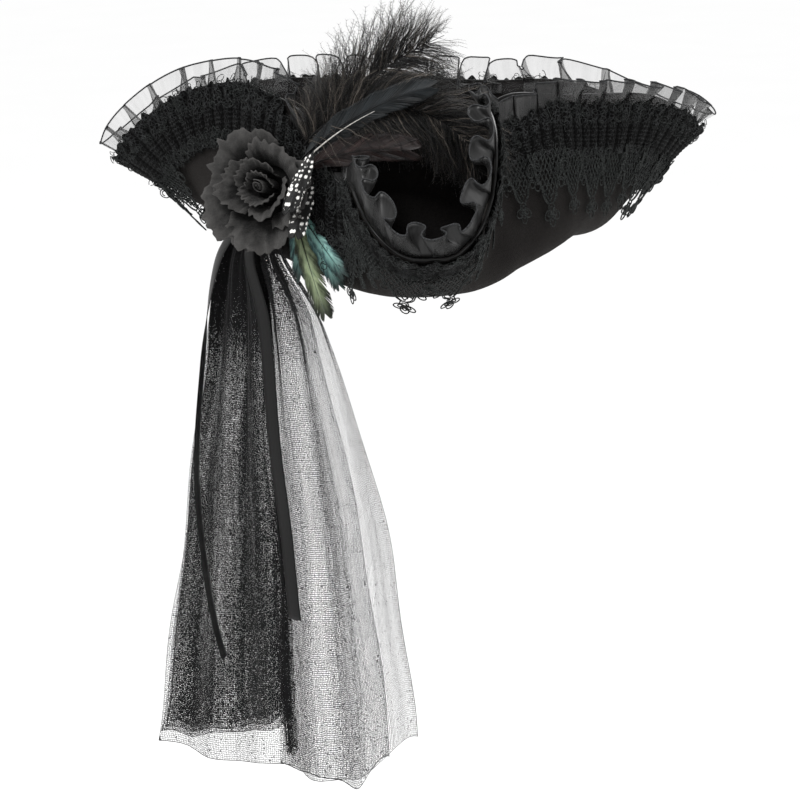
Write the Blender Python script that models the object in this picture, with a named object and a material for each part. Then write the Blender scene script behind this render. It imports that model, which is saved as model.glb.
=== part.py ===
"""Lady's felt tricorn hat with organza frill, lace edging, rose, feathers, veil and ribbons.

The hat lies level. The origin is the middle of the head opening where the brim leaves the
crown, -Y is the front corner, +X is to the right seen from the front and +Z is up. Angles
round the hat are in degrees, 0 at the front corner and growing towards +X.
"""
import math
from collections import namedtuple

import bpy
import numpy as np

# Felt body, in metres
HEAD_WIDTH = 0.162        # head opening, side to side, inside the felt
HEAD_LENGTH = 0.196       # head opening, front to back
CROWN_HEIGHT = 0.100
FELT = 0.002              # felt wall
BRIM_DEPTH = 0.140        # brim from root to edge, measured along the felt
BRIM_SWEEP = 0.019        # how far the brim's root rises at the sides of the head
GAP = 0.0003              # air left between two pieces that touch
SEWN_GAP = 0.0006         # the same under a gathered or curved piece

# Edge trims
LACE_HEIGHT = 0.055       # lace from the brim's edge down the outer face
LACE = 0.001              # lace wall
LACE_RIB = 0.0008         # how far each gathered rib stands out
DROP_LENGTH = 0.024       # hanging drops below the lace
RUFFLE_STAND = 0.016      # organza frill beyond the felt edge
RUFFLE_SEAM = 0.008       # its overlap with the felt inside the edge
RUFFLE = 0.001            # frill wall
PLEAT_DEPTH = 0.007       # box pleat, crest to hollow, at the frill's free edge
PLEATS = 52
PLEAT_FOOT = 0.15         # pleat depth at the seam, as a share of that at the free edge
PLEAT_OVERLAP = 0.54      # how far a pleat's sides lap over its hollow, in pleat steps
DROP_HANG = 0.6           # how much a drop hangs down rather than along a flat brim

# Corsage on the front left flap: patch, rose, feathers, veil and ribbons
PATCH = 0.0012            # felt patch that everything is sewn to
PATCH_ANGLES = (-64.0, -26.0)
PATCH_DOWN = (0.04, 0.57)   # from and to, shares of BRIM_DEPTH below the felt edge
FEATHER_CLEAR = 7.0         # degrees past the patch that the feathers hide, without drops
PATCH_REACH = 0.60          # but no further than this share of a section's own depth
ROSE_ANGLE = -47.0        # the rose's place: degrees round the hat
ROSE_DOWN = 0.37          # and share of BRIM_DEPTH below the felt edge
ROSE_TURN = 25.0          # degrees that the rose faces round to the front
ROSE_TILT = 0.12          # how far its axis tilts up, as a slope
ROSE_RADIUS = 0.038
ROSE_DEPTH = 0.026        # petals, foot to rim, along the rose's axis
PETAL = 0.001             # petal wall
PETAL_CORNER = 0.34       # share of a petal's height that its two corners fall
PETAL_WAVE = 0.05         # how far the rims wave in and out, as a share of the radius
CUP_RADIUS = 0.585        # cup behind the rose, as a share of ROSE_RADIUS, and its foot
CUP_FOOT = 0.24
CUP_CLEAR = 0.002         # least height of the cup
PLUME_LENGTH = 0.135      # longest ostrich plume along its shaft
PLUME_WIDTH = 0.044
LOCK_TIP = 1.15           # half width at the tip of a plume's lock and in the notch between
LOCK_NOTCH = 0.62         # two locks, as shares of the vane's
LOCK_FORWARD = 0.35       # how far a lock's tip leads its root, as a share of the same
FEATHER_LENGTH = 0.080    # longest coque feather
FEATHER_WIDTH = 0.014
FEATHER_WALL = 0.0012
FEATHER_LAYER = 0.0016    # middle of one foot to the middle of the next, outwards
FEATHER_FACING = (-0.35, -0.93, 0.10)    # direction that the vanes face
QUILL = 0.0016            # bent foot of a shaft, sewn down to the patch
VEIL_LENGTH = 0.364
VEIL_SPREAD = 0.186       # the veil across its hem, as it hangs
VEIL_GATHER = 0.028       # its width where it is gathered under the rose
VEIL_FOLD = 0.010         # veil folds, crest to hollow
VEIL = 0.001              # wall of one layer of net
VEIL_ANGLE = -56.0        # the gather's place: degrees round the hat
VEIL_DOWN = 0.50          # and share of BRIM_DEPTH below the felt edge
VEIL_HEADING = -32.0      # degrees from +X of the line that the veil hangs along
VEIL_MIDDLE = 0.415       # share of the spread that hangs under the gather
VEIL_FOLDS = 5
VEIL_CLEAR = 0.006        # how far it stands off the flap once it hangs free
VEIL_LAYER = 0.0028       # middle of one hanging layer to the middle of the next
HEM_INNER = 0.13          # how much shorter the hem is at its inner and outer corner
HEM_OUTER = 0.05
RIBBON_LENGTH = 0.257
RIBBON_WIDTH = 0.010
RIBBON = 0.001

# How finely the faceted solids are cut
BRIM_COLUMNS = 96
BRIM_ROWS_BELOW_LACE = 5
PLEAT_STEPS = 6
PETAL_ANGLE = 24.0        # degrees in one petal step
PETAL_ROWS = 4
COLUMNS_PER_DROP = 3
CROWN_COLUMNS = 40
PATCH_ROWS = 5
CUP_SIDES = 12
HEART_SIDES = 8
PLUME_STEPS = 17
FEATHER_STEPS = 6
RIBBON_STEPS = 10
VEIL_COLUMNS_PER_FOLD = 4
VEIL_ROWS = (0.0, 0.04, 0.10, 0.20, 0.34, 0.50, 0.68, 0.86, 1.0)   # shares of its length

# Sections round the brim. Angle, rise and the frill's lean into the hat are degrees, and so
# is the curl, which the felt bends on by from the end of the turn to its edge.
# The root's height is a share of BRIM_SWEEP, and the flat run, the length over which the
# felt turns up and the whole depth are shares of BRIM_DEPTH.
Section = namedtuple("Section", "angle root run turn rise curl depth lean")
SECTIONS = [
    Section(-180, 0.16, 0.07, 0.36, 90, 0, 0.91, 0),     # middle of the back flap
    Section(-150, 0.32, 0.07, 0.36, 88, 0, 0.92, 0),
    Section(-137, 0.53, 0.07, 0.36, 62, 0, 0.94, 0),
    Section(-128, 0.68, 0.07, 0.36, 38, 0, 0.99, 0),
    Section(-120, 0.79, 0.07, 0.36, 25, 0, 1.00, 0),     # left corner
    Section(-112, 0.89, 0.07, 0.36, 31, 0, 0.94, 0),
    Section(-103, 0.95, 0.07, 0.36, 54, 0, 0.89, 0),
    Section(-90, 1.00, 0.06, 0.33, 80, 0, 0.89, 0),
    Section(-75, 0.95, 0.03, 0.30, 90, 2, 0.88, 0),
    Section(-58, 0.79, 0.015, 0.29, 92, 3, 0.86, 0),     # front left flap, behind the rose
    Section(-42, 0.58, 0.015, 0.28, 96, 3, 0.81, 0),
    Section(-32, 0.40, 0.03, 0.28, 98, 2, 0.71, 25),
    Section(-25, 0.21, 0.04, 0.30, 94, 0, 0.63, 70),
    Section(-19.5, 0.11, 0.06, 0.29, 84, 0, 0.66, 75),
    Section(-15, 0.05, 0.07, 0.29, 62, 0, 0.80, 62),
    Section(-10, 0.00, 0.07, 0.29, 36, 0, 0.99, 52),
    Section(-5, 0.00, 0.07, 0.29, 24, 0, 1.01, 50),
    Section(0, 0.00, 0.07, 0.29, 22, 0, 1.01, 50),        # front corner, an open spout
    Section(4, 0.00, 0.07, 0.29, 24, 0, 1.01, 50),
    Section(8.5, 0.00, 0.07, 0.29, 36, 0, 1.01, 50),
    Section(13, 0.00, 0.07, 0.29, 62, 0, 1.00, 50),
    Section(18, 0.05, 0.06, 0.29, 90, 0, 0.97, 48),
    Section(24, 0.16, 0.04, 0.30, 98, 6, 0.94, 22),
    Section(35, 0.42, 0.015, 0.27, 95, 6, 0.89, 0),
    Section(58, 0.70, 0.015, 0.29, 91, 4, 0.82, 0),      # middle of the front right flap
    Section(75, 0.82, 0.04, 0.31, 84, 2, 0.82, 0),
    Section(90, 0.70, 0.10, 0.34, 72, 0, 0.91, 0),
    Section(103, 0.48, 0.14, 0.36, 52, 0, 0.98, 0),
    Section(112, 0.42, 0.16, 0.37, 38, 0, 1.05, 0),
    Section(120, 0.50, 0.16, 0.37, 32.5, 0, 1.09, 0),      # right corner
    Section(128, 0.58, 0.11, 0.36, 40, 0, 1.01, 0),
    Section(137, 0.47, 0.07, 0.36, 62, 0, 0.93, 0),
    Section(150, 0.32, 0.07, 0.36, 84, 0, 0.88, 0),
]

# Rings of the crown from its lower edge to the middle of its top, as shares of the head
# opening's radius and of CROWN_HEIGHT.
Ring = namedtuple("Ring", "radius height")
CROWN_RINGS = [
    Ring(1.00, 0.00), Ring(0.99, 0.30), Ring(0.965, 0.58), Ring(0.90, 0.80),
    Ring(0.76, 0.93), Ring(0.50, 0.985), Ring(0.24, 1.00),
]

# Rings of the rose's rolled heart, as shares of ROSE_RADIUS and of ROSE_DEPTH.
HEART_RINGS = [Ring(0.105, 0.00), Ring(0.100, 0.45), Ring(0.085, 0.80), Ring(0.050, 1.00)]

# Outline of one lace drop below its two upper corners: its neck, then its three lobes.
# Across is a share of the drop's width and down a share of DROP_LENGTH.
Spot = namedtuple("Spot", "across down")
DROP_OUTLINE = [Spot(-0.07, 0.55), Spot(0.07, 0.55), Spot(-0.24, 0.80), Spot(0.00, 1.00),
                Spot(0.24, 0.80)]

# Petals of the rose from the heart outwards. Turn is the number of petal steps round the
# axis to its first edge and steps is its width. Foot radius and flare are shares of
# ROSE_RADIUS and the height is a share of ROSE_DEPTH. Every petal lies on a bell outside
# the one before it, so none of them cut into each other.
Petal = namedtuple("Petal", "turn steps foot flare height")
PETALS = [
    Petal(0, 8, 0.150, 0.05, 0.98),
    Petal(7, 7, 0.195, 0.08, 1.00),
    Petal(2, 6, 0.240, 0.14, 1.00),
    Petal(10, 6, 0.285, 0.20, 0.98),
    Petal(5, 5, 0.330, 0.27, 0.95),
    Petal(0, 5, 0.375, 0.33, 0.92),
    Petal(12, 5, 0.420, 0.40, 0.88),
    Petal(3, 5, 0.465, 0.44, 0.82),
    Petal(9, 5, 0.510, 0.46, 0.76),
    Petal(7, 5, 0.555, 0.46, 0.70),
]

# Feathers of the corsage. Angle and down place the foot on the patch: degrees round the
# hat, and a share of BRIM_DEPTH below the felt edge. Layer counts outwards from the patch.
# Heading is seen from the front, 0 to the right and 90 up, at the foot and at the tip. Lean
# is towards the front, likewise. Length and width are shares of PLUME_LENGTH and
# PLUME_WIDTH, or of FEATHER_LENGTH and FEATHER_WIDTH.
Feather = namedtuple(
    "Feather", "name plume angle down layer heading tip_heading lean tip_lean length width")
FEATHERS = [
    Feather("plume_tall", True, -38, 0.07, 0, 50, 20, 24, -20, 0.82, 1.00),
    Feather("plume_sweeping", True, -37, 0.09, 1, 58, -60, 30, -4, 0.96, 0.90),
    Feather("goose_blue", False, -36, 0.12, 2, 48, 14, 30, 18, 1.25, 1.10),
    Feather("goose_plum", False, -35, 0.15, 3, 32, -6, 32, 24, 0.95, 1.20),
    Feather("guinea_1", False, -29.0, 0.14, 4, -102, -102, 32, 28, 0.58, 0.72),
    Feather("guinea_2", False, -28.5, 0.19, 3, -102, -102, 30, 26, 0.55, 0.75),
    Feather("guinea_3", False, -29.5, 0.27, 2, -98, -98, 30, 26, 0.48, 0.75),
    Feather("coque_1", False, -40, 0.45, 0, -90, -84, 18, 2, 0.64, 0.70),
    Feather("coque_2", False, -38.5, 0.42, 1, -78, -72, 24, 8, 0.98, 0.90),
    Feather("coque_3", False, -36.5, 0.39, 2, -68, -62, 28, 14, 0.76, 0.80),
    Feather("coque_4", False, -35, 0.36, 3, -58, -54, 34, 22, 0.66, 0.70),
]
FEATHER_FINISHES = {      # by the first word of the feather's name
    "plume": ("ostrich_black", (0.012, 0.011, 0.010)),
    "goose": ("goose_dark", (0.020, 0.018, 0.024)),
    "guinea": ("guinea_spotted", (0.05, 0.05, 0.05)),
    "coque": ("coque_green", (0.02, 0.035, 0.03)),
}

# Ribbons. Start and end are shares across the veil, length a share of RIBBON_LENGTH, twist
# the degrees that the end turns away from the front, and layer its place before the veil.
Ribbon = namedtuple("Ribbon", "name start end length twist layer")
RIBBONS = [
    Ribbon("ribbon_front", 0.52, 0.56, 1.00, 10, 2),
    Ribbon("ribbon_side", 0.05, 0.27, 1.12, 75, 2),
]


def remove_everything():
    """Empty the scene that the script is run in."""
    for thing in list(bpy.data.objects):
        bpy.data.objects.remove(thing, do_unlink=True)


def material(name, colour, roughness, metallic=0.0, alpha=1.0):
    """Return the named finish, made on first use."""
    found = bpy.data.materials.get(name)
    if found:
        return found
    made = bpy.data.materials.new(name)
    made.use_nodes = True
    shader = made.node_tree.nodes["Principled BSDF"]
    shader.inputs["Base Color"].default_value = (*colour, 1.0)
    shader.inputs["Roughness"].default_value = roughness
    shader.inputs["Metallic"].default_value = metallic
    shader.inputs["Alpha"].default_value = alpha
    return made


def felt():
    """Finish of the crown, the brim and the patch."""
    return material("black_felt", (0.012, 0.011, 0.012), 0.85)


def add_object(name, points, faces, finish, wall=0.0, even=False):
    """Add one named object, thickened evenly about its surface where it has a wall."""
    mesh = bpy.data.meshes.new(name)
    mesh.from_pydata([tuple(point) for point in points], [], faces)
    mesh.validate()
    mesh.materials.append(finish)
    mesh.shade_smooth()
    mesh.set_sharp_from_angle(angle=math.radians(50))
    thing = bpy.data.objects.new(name, mesh)
    bpy.context.scene.collection.objects.link(thing)
    if wall:
        thicken = thing.modifiers.new("wall", "SOLIDIFY")
        thicken.thickness = wall
        thicken.offset = 0.0
        thicken.use_even_offset = even
    return thing


def grid_faces(columns, rows, closed):
    """Quads of a grid that is numbered column by column, rows points in each."""
    faces = []
    for column in range(columns if closed else columns - 1):
        after = (column + 1) % columns
        for row in range(rows - 1):
            faces.append((column * rows + row, after * rows + row,
                          after * rows + row + 1, column * rows + row + 1))
    return faces


def unit(vector):
    """The vector at length one."""
    return vector / np.linalg.norm(vector)


def smooth(share):
    """Ease from 0 to 1."""
    share = np.clip(share, 0.0, 1.0)
    return share * share * (3.0 - 2.0 * share)


def section_values(angle):
    """Section at any angle, on a smooth curve through the table's rows."""
    angle = (angle + 180.0) % 360.0 - 180.0
    count = len(SECTIONS)
    after = next((i for i in range(count) if SECTIONS[i].angle > angle), count)

    def row(index):
        turns, place = divmod(index, count)
        values = np.array(SECTIONS[place], dtype=float)
        values[0] += 360.0 * turns
        return values

    before, start, end, beyond = (row(after + shift) for shift in (-2, -1, 0, 1))
    width = end[0] - start[0]
    share = (angle - start[0]) / width
    start_slope = (end - before) / (end[0] - before[0]) * width
    end_slope = (beyond - start) / (beyond[0] - start[0]) * width
    square, cube = share ** 2, share ** 3
    values = ((2 * cube - 3 * square + 1) * start + (cube - 2 * square + share) * start_slope
              + (3 * square - 2 * cube) * end + (cube - square) * end_slope)
    return Section(angle, *values[1:])


def head_radius(angle):
    """Radius of the head opening's outline, in the middle of the felt."""
    turn = math.radians(angle)
    half_width = (HEAD_WIDTH + FELT) / 2
    half_length = (HEAD_LENGTH + FELT) / 2
    return 1.0 / math.hypot(math.sin(turn) / half_width, math.cos(turn) / half_length)


def root_height(angle):
    """Height of the brim's root above the origin."""
    return section_values(angle).root * BRIM_SWEEP


class BrimLine:
    """One section of the brim from its root to its edge, in the middle of the felt."""

    STEPS = 70

    def __init__(self, angle):
        values = section_values(angle)
        turn = math.radians(angle)
        self.out = np.array([math.sin(turn), -math.cos(turn), 0.0])
        self.depth = values.depth * BRIM_DEPTH
        run = values.run * BRIM_DEPTH
        bend = values.turn * BRIM_DEPTH
        self.along = np.linspace(0.0, self.depth, self.STEPS)
        curl = np.clip((self.along - run - bend) / (self.depth - run - bend), 0.0, 1.0)
        slope = np.radians(values.rise) * smooth((self.along - run) / bend)
        self.slope = slope + np.radians(values.curl) * curl
        middle = (self.slope[1:] + self.slope[:-1]) / 2
        step = self.along[1]
        reach = head_radius(angle) + np.concatenate(([0.0], np.cumsum(np.cos(middle) * step)))
        rise = values.root * BRIM_SWEEP + np.concatenate(([0.0], np.cumsum(np.sin(middle) * step)))
        self.reach = reach
        self.rise = rise

    def point(self, along, lean=0.0):
        """Point at a length from the root. Past the edge it runs straight, leaning inwards."""
        inside = min(along, self.depth)
        reach = np.interp(inside, self.along, self.reach)
        rise = np.interp(inside, self.along, self.rise)
        if along < 0.0:
            reach += along
        past = max(along - self.depth, 0.0)
        direction = self.slope[-1] + lean
        reach += past * math.cos(direction)
        rise += past * math.sin(direction)
        return self.out * reach + np.array([0.0, 0.0, rise])


class Brim:
    """The brim as a ring of sections. Pieces sewn to it are placed on its facets."""

    def __init__(self):
        fine = np.linspace(-180.0, 180.0, 721)
        lines = [BrimLine(angle) for angle in fine]
        length = np.zeros(len(fine))
        for place in range(1, len(fine)):
            root = np.linalg.norm(lines[place].point(0.0) - lines[place - 1].point(0.0))
            edge = np.linalg.norm(lines[place].point(lines[place].depth)
                                  - lines[place - 1].point(lines[place - 1].depth))
            length[place] = length[place - 1] + root + edge
        wanted = np.linspace(0.0, length[-1], BRIM_COLUMNS, endpoint=False)
        self.angles = np.interp(wanted, length, fine)
        self.lines = [BrimLine(angle) for angle in self.angles]

    def column(self, angle):
        """Column number, with its fraction, of an angle round the hat."""
        return float(np.interp(angle, np.append(self.angles, 180.0),
                               np.arange(BRIM_COLUMNS + 1)))

    def angle(self, column):
        """Angle round the hat at a column number."""
        return float(np.interp(column, np.arange(BRIM_COLUMNS + 1), np.append(self.angles, 180.0)))

    def middle(self, column, past_edge, lean=0.0):
        """Point of the felt's middle at a column and a length past the edge."""
        first = math.floor(column)
        share = column - first
        points = []
        for place in (first, first + 1):
            line = self.lines[place % BRIM_COLUMNS]
            points.append(line.point(line.depth + past_edge, lean))
        return points[0] * (1.0 - share) + points[1] * share

    def outward(self, column, past_edge, lean=0.0):
        """Direction out of the brim's outer face."""
        reach = 0.5
        step = 0.002
        across = (self.middle(column + reach, past_edge, lean)
                  - self.middle(column - reach, past_edge, lean))
        up = (self.middle(column, past_edge + step, lean)
              - self.middle(column, past_edge - step, lean))
        return unit(np.cross(across, up))

    def point(self, column, past_edge, lift, lean=0.0):
        """Point that stands a lift off the felt's middle, outwards."""
        return (self.middle(column, past_edge, lean)
                + self.outward(column, past_edge, lean) * lift)


def make_crown():
    """Plain round crown that stands on the inner edge of the brim."""
    points = []
    for column in range(CROWN_COLUMNS):
        angle = 360.0 * column / CROWN_COLUMNS
        turn = math.radians(angle)
        foot = root_height(angle) + FELT / 2 + SEWN_GAP
        for ring in CROWN_RINGS:
            reach = head_radius(angle) * ring.radius
            height = foot + (CROWN_HEIGHT - foot) * ring.height
            points.append((math.sin(turn) * reach, -math.cos(turn) * reach, height))
    rows = len(CROWN_RINGS)
    faces = grid_faces(CROWN_COLUMNS, rows, closed=True)
    points.append((0.0, 0.0, CROWN_HEIGHT * 1.004))
    top = len(points) - 1
    for column in range(CROWN_COLUMNS):
        after = (column + 1) % CROWN_COLUMNS
        faces.append((column * rows + rows - 1, after * rows + rows - 1, top))
    add_object("crown", points, faces, felt(), FELT, True)


def make_brim(brim):
    """Felt brim, turned up into three flaps, with an open spout at the front."""
    points = []
    for line in brim.lines:
        below = line.depth - LACE_HEIGHT
        rows = [below * row / BRIM_ROWS_BELOW_LACE for row in range(BRIM_ROWS_BELOW_LACE + 1)]
        rows[0] = -FELT / 2
        rows += [line.depth - LACE_HEIGHT / 2, line.depth]
        points += [line.point(along) for along in rows]
    faces = grid_faces(BRIM_COLUMNS, BRIM_ROWS_BELOW_LACE + 3, closed=True)
    add_object("brim", points, faces, felt(), FELT, True)


def make_lace(brim):
    """Gathered lace on the outer face, pierced along its lower edge, with hanging drops."""
    lift = FELT / 2 + SEWN_GAP + LACE / 2
    heights = (-LACE_HEIGHT, -LACE_HEIGHT / 2, 0.0)
    points = []
    for column in range(BRIM_COLUMNS):
        rib = LACE_RIB if column % COLUMNS_PER_DROP == 1 else 0.0
        points += [brim.point(column, height, lift + rib) for height in heights]
    rows = len(heights)
    faces = []
    for face in grid_faces(BRIM_COLUMNS, rows, closed=True):
        column, row = divmod(face[0], rows)
        pierced = row == 0 and column % COLUMNS_PER_DROP == COLUMNS_PER_DROP - 1
        if not pierced:
            faces.append(face)
    for column in range(0, BRIM_COLUMNS, COLUMNS_PER_DROP):
        if PATCH_ANGLES[0] < brim.angles[column + 1] < PATCH_ANGLES[1] + FEATHER_CLEAR:
            continue
        left, middle, right = ((column + shift) * rows for shift in (0, 1, 2))
        hang = points[middle] - points[middle + 1]
        line = brim.lines[column + 1]
        inwards = DROP_HANG * max(math.cos(line.slope[-1]), 0.0)
        hang = unit(unit(hang) * (1.0 - inwards) + np.array([0.0, 0.0, -1.0]) * inwards)
        side = unit(points[right] - points[left])
        middle_point = points[middle]
        width = np.linalg.norm(points[right] - points[left])
        first = len(points)
        for spot in DROP_OUTLINE:
            points.append(middle_point + side * spot.across * width + hang * spot.down * DROP_LENGTH)
        neck_left, neck_right, lobe_left, tip, lobe_right = range(first, first + 5)
        faces += [(middle, left, neck_left), (middle, neck_left, neck_right),
                  (middle, neck_right, right), (neck_left, lobe_left, tip),
                  (neck_left, tip, neck_right), (neck_right, tip, lobe_right)]
    finish = material("black_lace", (0.010, 0.010, 0.012), 0.7)
    add_object("lace_edging", points, faces, finish, LACE)


def make_ruffle(brim):
    """Organza frill in box pleats, sewn inside the edge and standing beyond it."""
    steps = PLEATS * PLEAT_STEPS
    seam_lift = -(FELT / 2 + SEWN_GAP + RUFFLE / 2)
    points = []
    for step in range(steps):
        phase = 2.0 * math.pi * (step % PLEAT_STEPS) / PLEAT_STEPS
        crest = 0.5 - 0.5 * math.cos(phase)
        shift = PLEAT_OVERLAP * math.sin(2.0 * phase)
        per_step = BRIM_COLUMNS / steps
        foot = step * per_step
        rim = (step + shift) * per_step
        lean = math.radians(section_values(brim.angle(foot)).lean)
        points.append(brim.point(foot, -RUFFLE_SEAM, seam_lift - crest * PLEAT_DEPTH * PLEAT_FOOT))
        points.append(brim.point(rim, RUFFLE_STAND, seam_lift - crest * PLEAT_DEPTH, lean))
    faces = grid_faces(steps, 2, closed=True)
    finish = material("black_organza", (0.02, 0.02, 0.022), 0.5, alpha=0.6)
    add_object("organza_ruffle", points, faces, finish, RUFFLE)


def patch_face():
    """Lift of the patch's outer face off the felt's middle."""
    under = FELT / 2 + SEWN_GAP + LACE + LACE_RIB + SEWN_GAP
    return under + PATCH


def make_patch(brim):
    """Hidden felt patch on the lace that the rose, feathers and veil are sewn to."""
    first = math.ceil(brim.column(PATCH_ANGLES[0]))
    last = math.floor(brim.column(PATCH_ANGLES[1]))
    columns = list(range(first, last + 1))
    rows = PATCH_ROWS
    points = []
    for column in columns:
        top = PATCH_DOWN[0] * BRIM_DEPTH
        foot = min(PATCH_DOWN[1] * BRIM_DEPTH, PATCH_REACH * brim.lines[column].depth)
        for row in range(rows):
            down = foot + (top - foot) * row / (rows - 1)
            points.append(brim.point(column, -down, patch_face() - PATCH / 2))
    add_object("corsage_patch", points, grid_faces(len(columns), rows, closed=False),
               felt(), PATCH)


def rose_frame(brim):
    """Foot of the rose on the patch, its axis, and two directions across it."""
    column = brim.column(ROSE_ANGLE)
    down = -ROSE_DOWN * BRIM_DEPTH
    out = brim.outward(column, down)
    turn = math.radians(ROSE_TURN)
    axis = unit(np.array([out[0] * math.cos(turn) - out[1] * math.sin(turn),
                          out[0] * math.sin(turn) + out[1] * math.cos(turn), out[2] + ROSE_TILT]))
    side = unit(np.cross(np.array([0.0, 0.0, 1.0]), axis))
    return brim.point(column, down, patch_face()), axis, side, np.cross(axis, side)


def make_rose(brim):
    """Fabric rose: a cup that seats it on the patch, a rolled heart and nested petals."""
    foot, axis, side, up = rose_frame(brim)
    cup_radius = CUP_RADIUS * ROSE_RADIUS
    stand = cup_radius * math.tan(math.radians(ROSE_TURN)) + CUP_CLEAR
    velvet = material("charcoal_velvet", (0.03, 0.03, 0.032), 0.9)
    cup = []
    column = brim.column(ROSE_ANGLE)
    spread = CUP_FOOT * ROSE_RADIUS
    for place in range(CUP_SIDES):
        turn = 2.0 * math.pi * place / CUP_SIDES
        across = math.cos(turn) * side + math.sin(turn) * up
        near = column + spread * math.cos(turn) / column_width(brim, column)
        down = -ROSE_DOWN * BRIM_DEPTH + spread * math.sin(turn)
        cup.append(brim.point(near, down, patch_face() + SEWN_GAP))
        cup.append(foot + axis * stand + across * cup_radius)
    faces = grid_faces(CUP_SIDES, 2, closed=True)
    faces.append(tuple(range(0, 2 * CUP_SIDES, 2))[::-1])
    faces.append(tuple(range(1, 2 * CUP_SIDES, 2)))
    add_object("rose_cup", cup, faces, velvet)

    heart = []
    rings = len(HEART_RINGS)
    for place in range(HEART_SIDES):
        turn = 2.0 * math.pi * place / HEART_SIDES
        across = math.cos(turn) * side + math.sin(turn) * up
        for ring in HEART_RINGS:
            height = stand + GAP + ring.height * ROSE_DEPTH
            heart.append(foot + axis * height + across * ring.radius * ROSE_RADIUS)
    faces = grid_faces(HEART_SIDES, rings, closed=True)
    faces.append(tuple(range(0, HEART_SIDES * rings, rings))[::-1])
    faces.append(tuple(range(rings - 1, HEART_SIDES * rings, rings)))
    add_object("rose_heart", heart, faces, velvet)

    for number, petal in enumerate(PETALS, start=1):
        points = []
        for step in range(petal.steps + 1):
            turn = math.radians((petal.turn + step) * PETAL_ANGLE)
            across = math.cos(turn) * side + math.sin(turn) * up
            edge = abs(2.0 * step / petal.steps - 1.0)
            top = petal.height * ROSE_DEPTH * (1.0 - PETAL_CORNER * edge ** 2.5)
            for row in range(PETAL_ROWS):
                height = top * row / (PETAL_ROWS - 1)
                share = height / (petal.height * ROSE_DEPTH)
                reach = (petal.foot + petal.flare * share ** 1.7) * ROSE_RADIUS
                reach *= 1.0 + PETAL_WAVE * math.sin(4.0 * turn + 0.7) * height / ROSE_DEPTH
                points.append(foot + axis * (stand + SEWN_GAP + height) + across * reach)
        faces = grid_faces(petal.steps + 1, PETAL_ROWS, closed=False)
        add_object(f"rose_petal_{number:02d}", points, faces, velvet, PETAL)


def column_width(brim, column):
    """Width of one brim column at the height of the rose."""
    down = -ROSE_DOWN * BRIM_DEPTH
    return float(np.linalg.norm(brim.middle(column + 0.5, down) - brim.middle(column - 0.5, down)))


def feather_spine(foot, row, length, steps):
    """Points along a feather's shaft and the direction at each."""
    points = [foot]
    directions = []
    for step in range(steps + 1):
        share = step / steps
        heading = math.radians(row.heading + (row.tip_heading - row.heading) * share)
        lean = math.radians(row.lean + (row.tip_lean - row.lean) * share)
        directions.append(np.array([math.cos(heading) * math.cos(lean), -math.sin(lean),
                                    math.sin(heading) * math.cos(lean)]))
        if step < steps:
            points.append(points[-1] + directions[-1] * length / steps)
    return points, directions


def make_feather(brim, row):
    """One feather: a lens-shaped vane along a bent shaft, with locks on a plume."""
    length = row.length * (PLUME_LENGTH if row.plume else FEATHER_LENGTH)
    width = row.width * (PLUME_WIDTH if row.plume else FEATHER_WIDTH)
    lift = patch_face() + SEWN_GAP + FEATHER_WALL / 2 + row.layer * FEATHER_LAYER
    foot = brim.point(brim.column(row.angle), -row.down * BRIM_DEPTH, lift)
    steps = PLUME_STEPS if row.plume else FEATHER_STEPS
    spine, directions = feather_spine(foot, row, length, steps)
    facing = unit(np.array(FEATHER_FACING))
    points = []
    if row.layer:
        column = brim.column(row.angle)
        seat = brim.point(column, -row.down * BRIM_DEPTH, patch_face() + SEWN_GAP)
        side = unit(np.cross(directions[0], facing)) * QUILL / 2
        along = directions[0] * QUILL / 2
        points += [seat - side, seat + along, seat + side, seat - along]
    for step, (centre, direction) in enumerate(zip(spine, directions)):
        share = step / steps
        side = unit(np.cross(direction, facing))
        out = np.cross(side, direction)
        half = width / 2 * max(math.sin(math.pi * min(share * 0.96 + 0.02, 1.0)) ** 0.75, 0.06)
        forward = 0.0
        if row.plume and step % 2:
            forward = LOCK_FORWARD * half
            half *= LOCK_TIP
        elif row.plume:
            half *= LOCK_NOTCH
        wall = FEATHER_WALL / 2 * (1.0 - 0.5 * share)
        points += [centre - side * half + direction * forward, centre - out * wall,
                   centre + side * half + direction * forward, centre + out * wall]
    faces = []
    rings = len(points) // 4
    for step in range(rings - 1):
        for corner in range(4):
            after = (corner + 1) % 4
            faces.append((4 * step + after, 4 * step + corner,
                          4 * step + 4 + corner, 4 * step + 4 + after))
    faces.append((0, 1, 2, 3))
    faces.append(tuple(4 * (rings - 1) + corner for corner in (3, 2, 1, 0)))
    name, colour = FEATHER_FINISHES[row.name.split("_")[0]]
    add_object(row.name, points, faces, material(name, colour, 0.6))


def veil_width(share, across):
    """Width of the hanging veil, as a share of its spread. Its inner side opens sooner."""
    gather = VEIL_GATHER / VEIL_SPREAD
    opened = 1.0 - (1.0 - share) ** 2.0 if across > VEIL_MIDDLE else share ** 0.62
    return gather + (1.0 - gather) * opened


def veil_hem(across):
    """Length of the veil, as a share of VEIL_LENGTH, with its two corners rounded off."""
    inner = HEM_INNER * smooth((across - 0.72) / 0.28)
    outer = HEM_OUTER * smooth((0.12 - across) / 0.17)
    return 1.0 - inner - outer


def veil_frame(brim, down):
    """Directions across the veil and out of it. It turns off the flap as it falls clear."""
    column = brim.column(VEIL_ANGLE)
    out = brim.outward(column, -VEIL_DOWN * BRIM_DEPTH)
    gathered = math.degrees(math.atan2(out[0], -out[1]))
    heading = math.radians(gathered + (VEIL_HEADING - gathered) * smooth((down - 0.010) / 0.060))
    return (np.array([math.cos(heading), math.sin(heading), 0.0]),
            np.array([math.sin(heading), -math.cos(heading), 0.0]))


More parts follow.
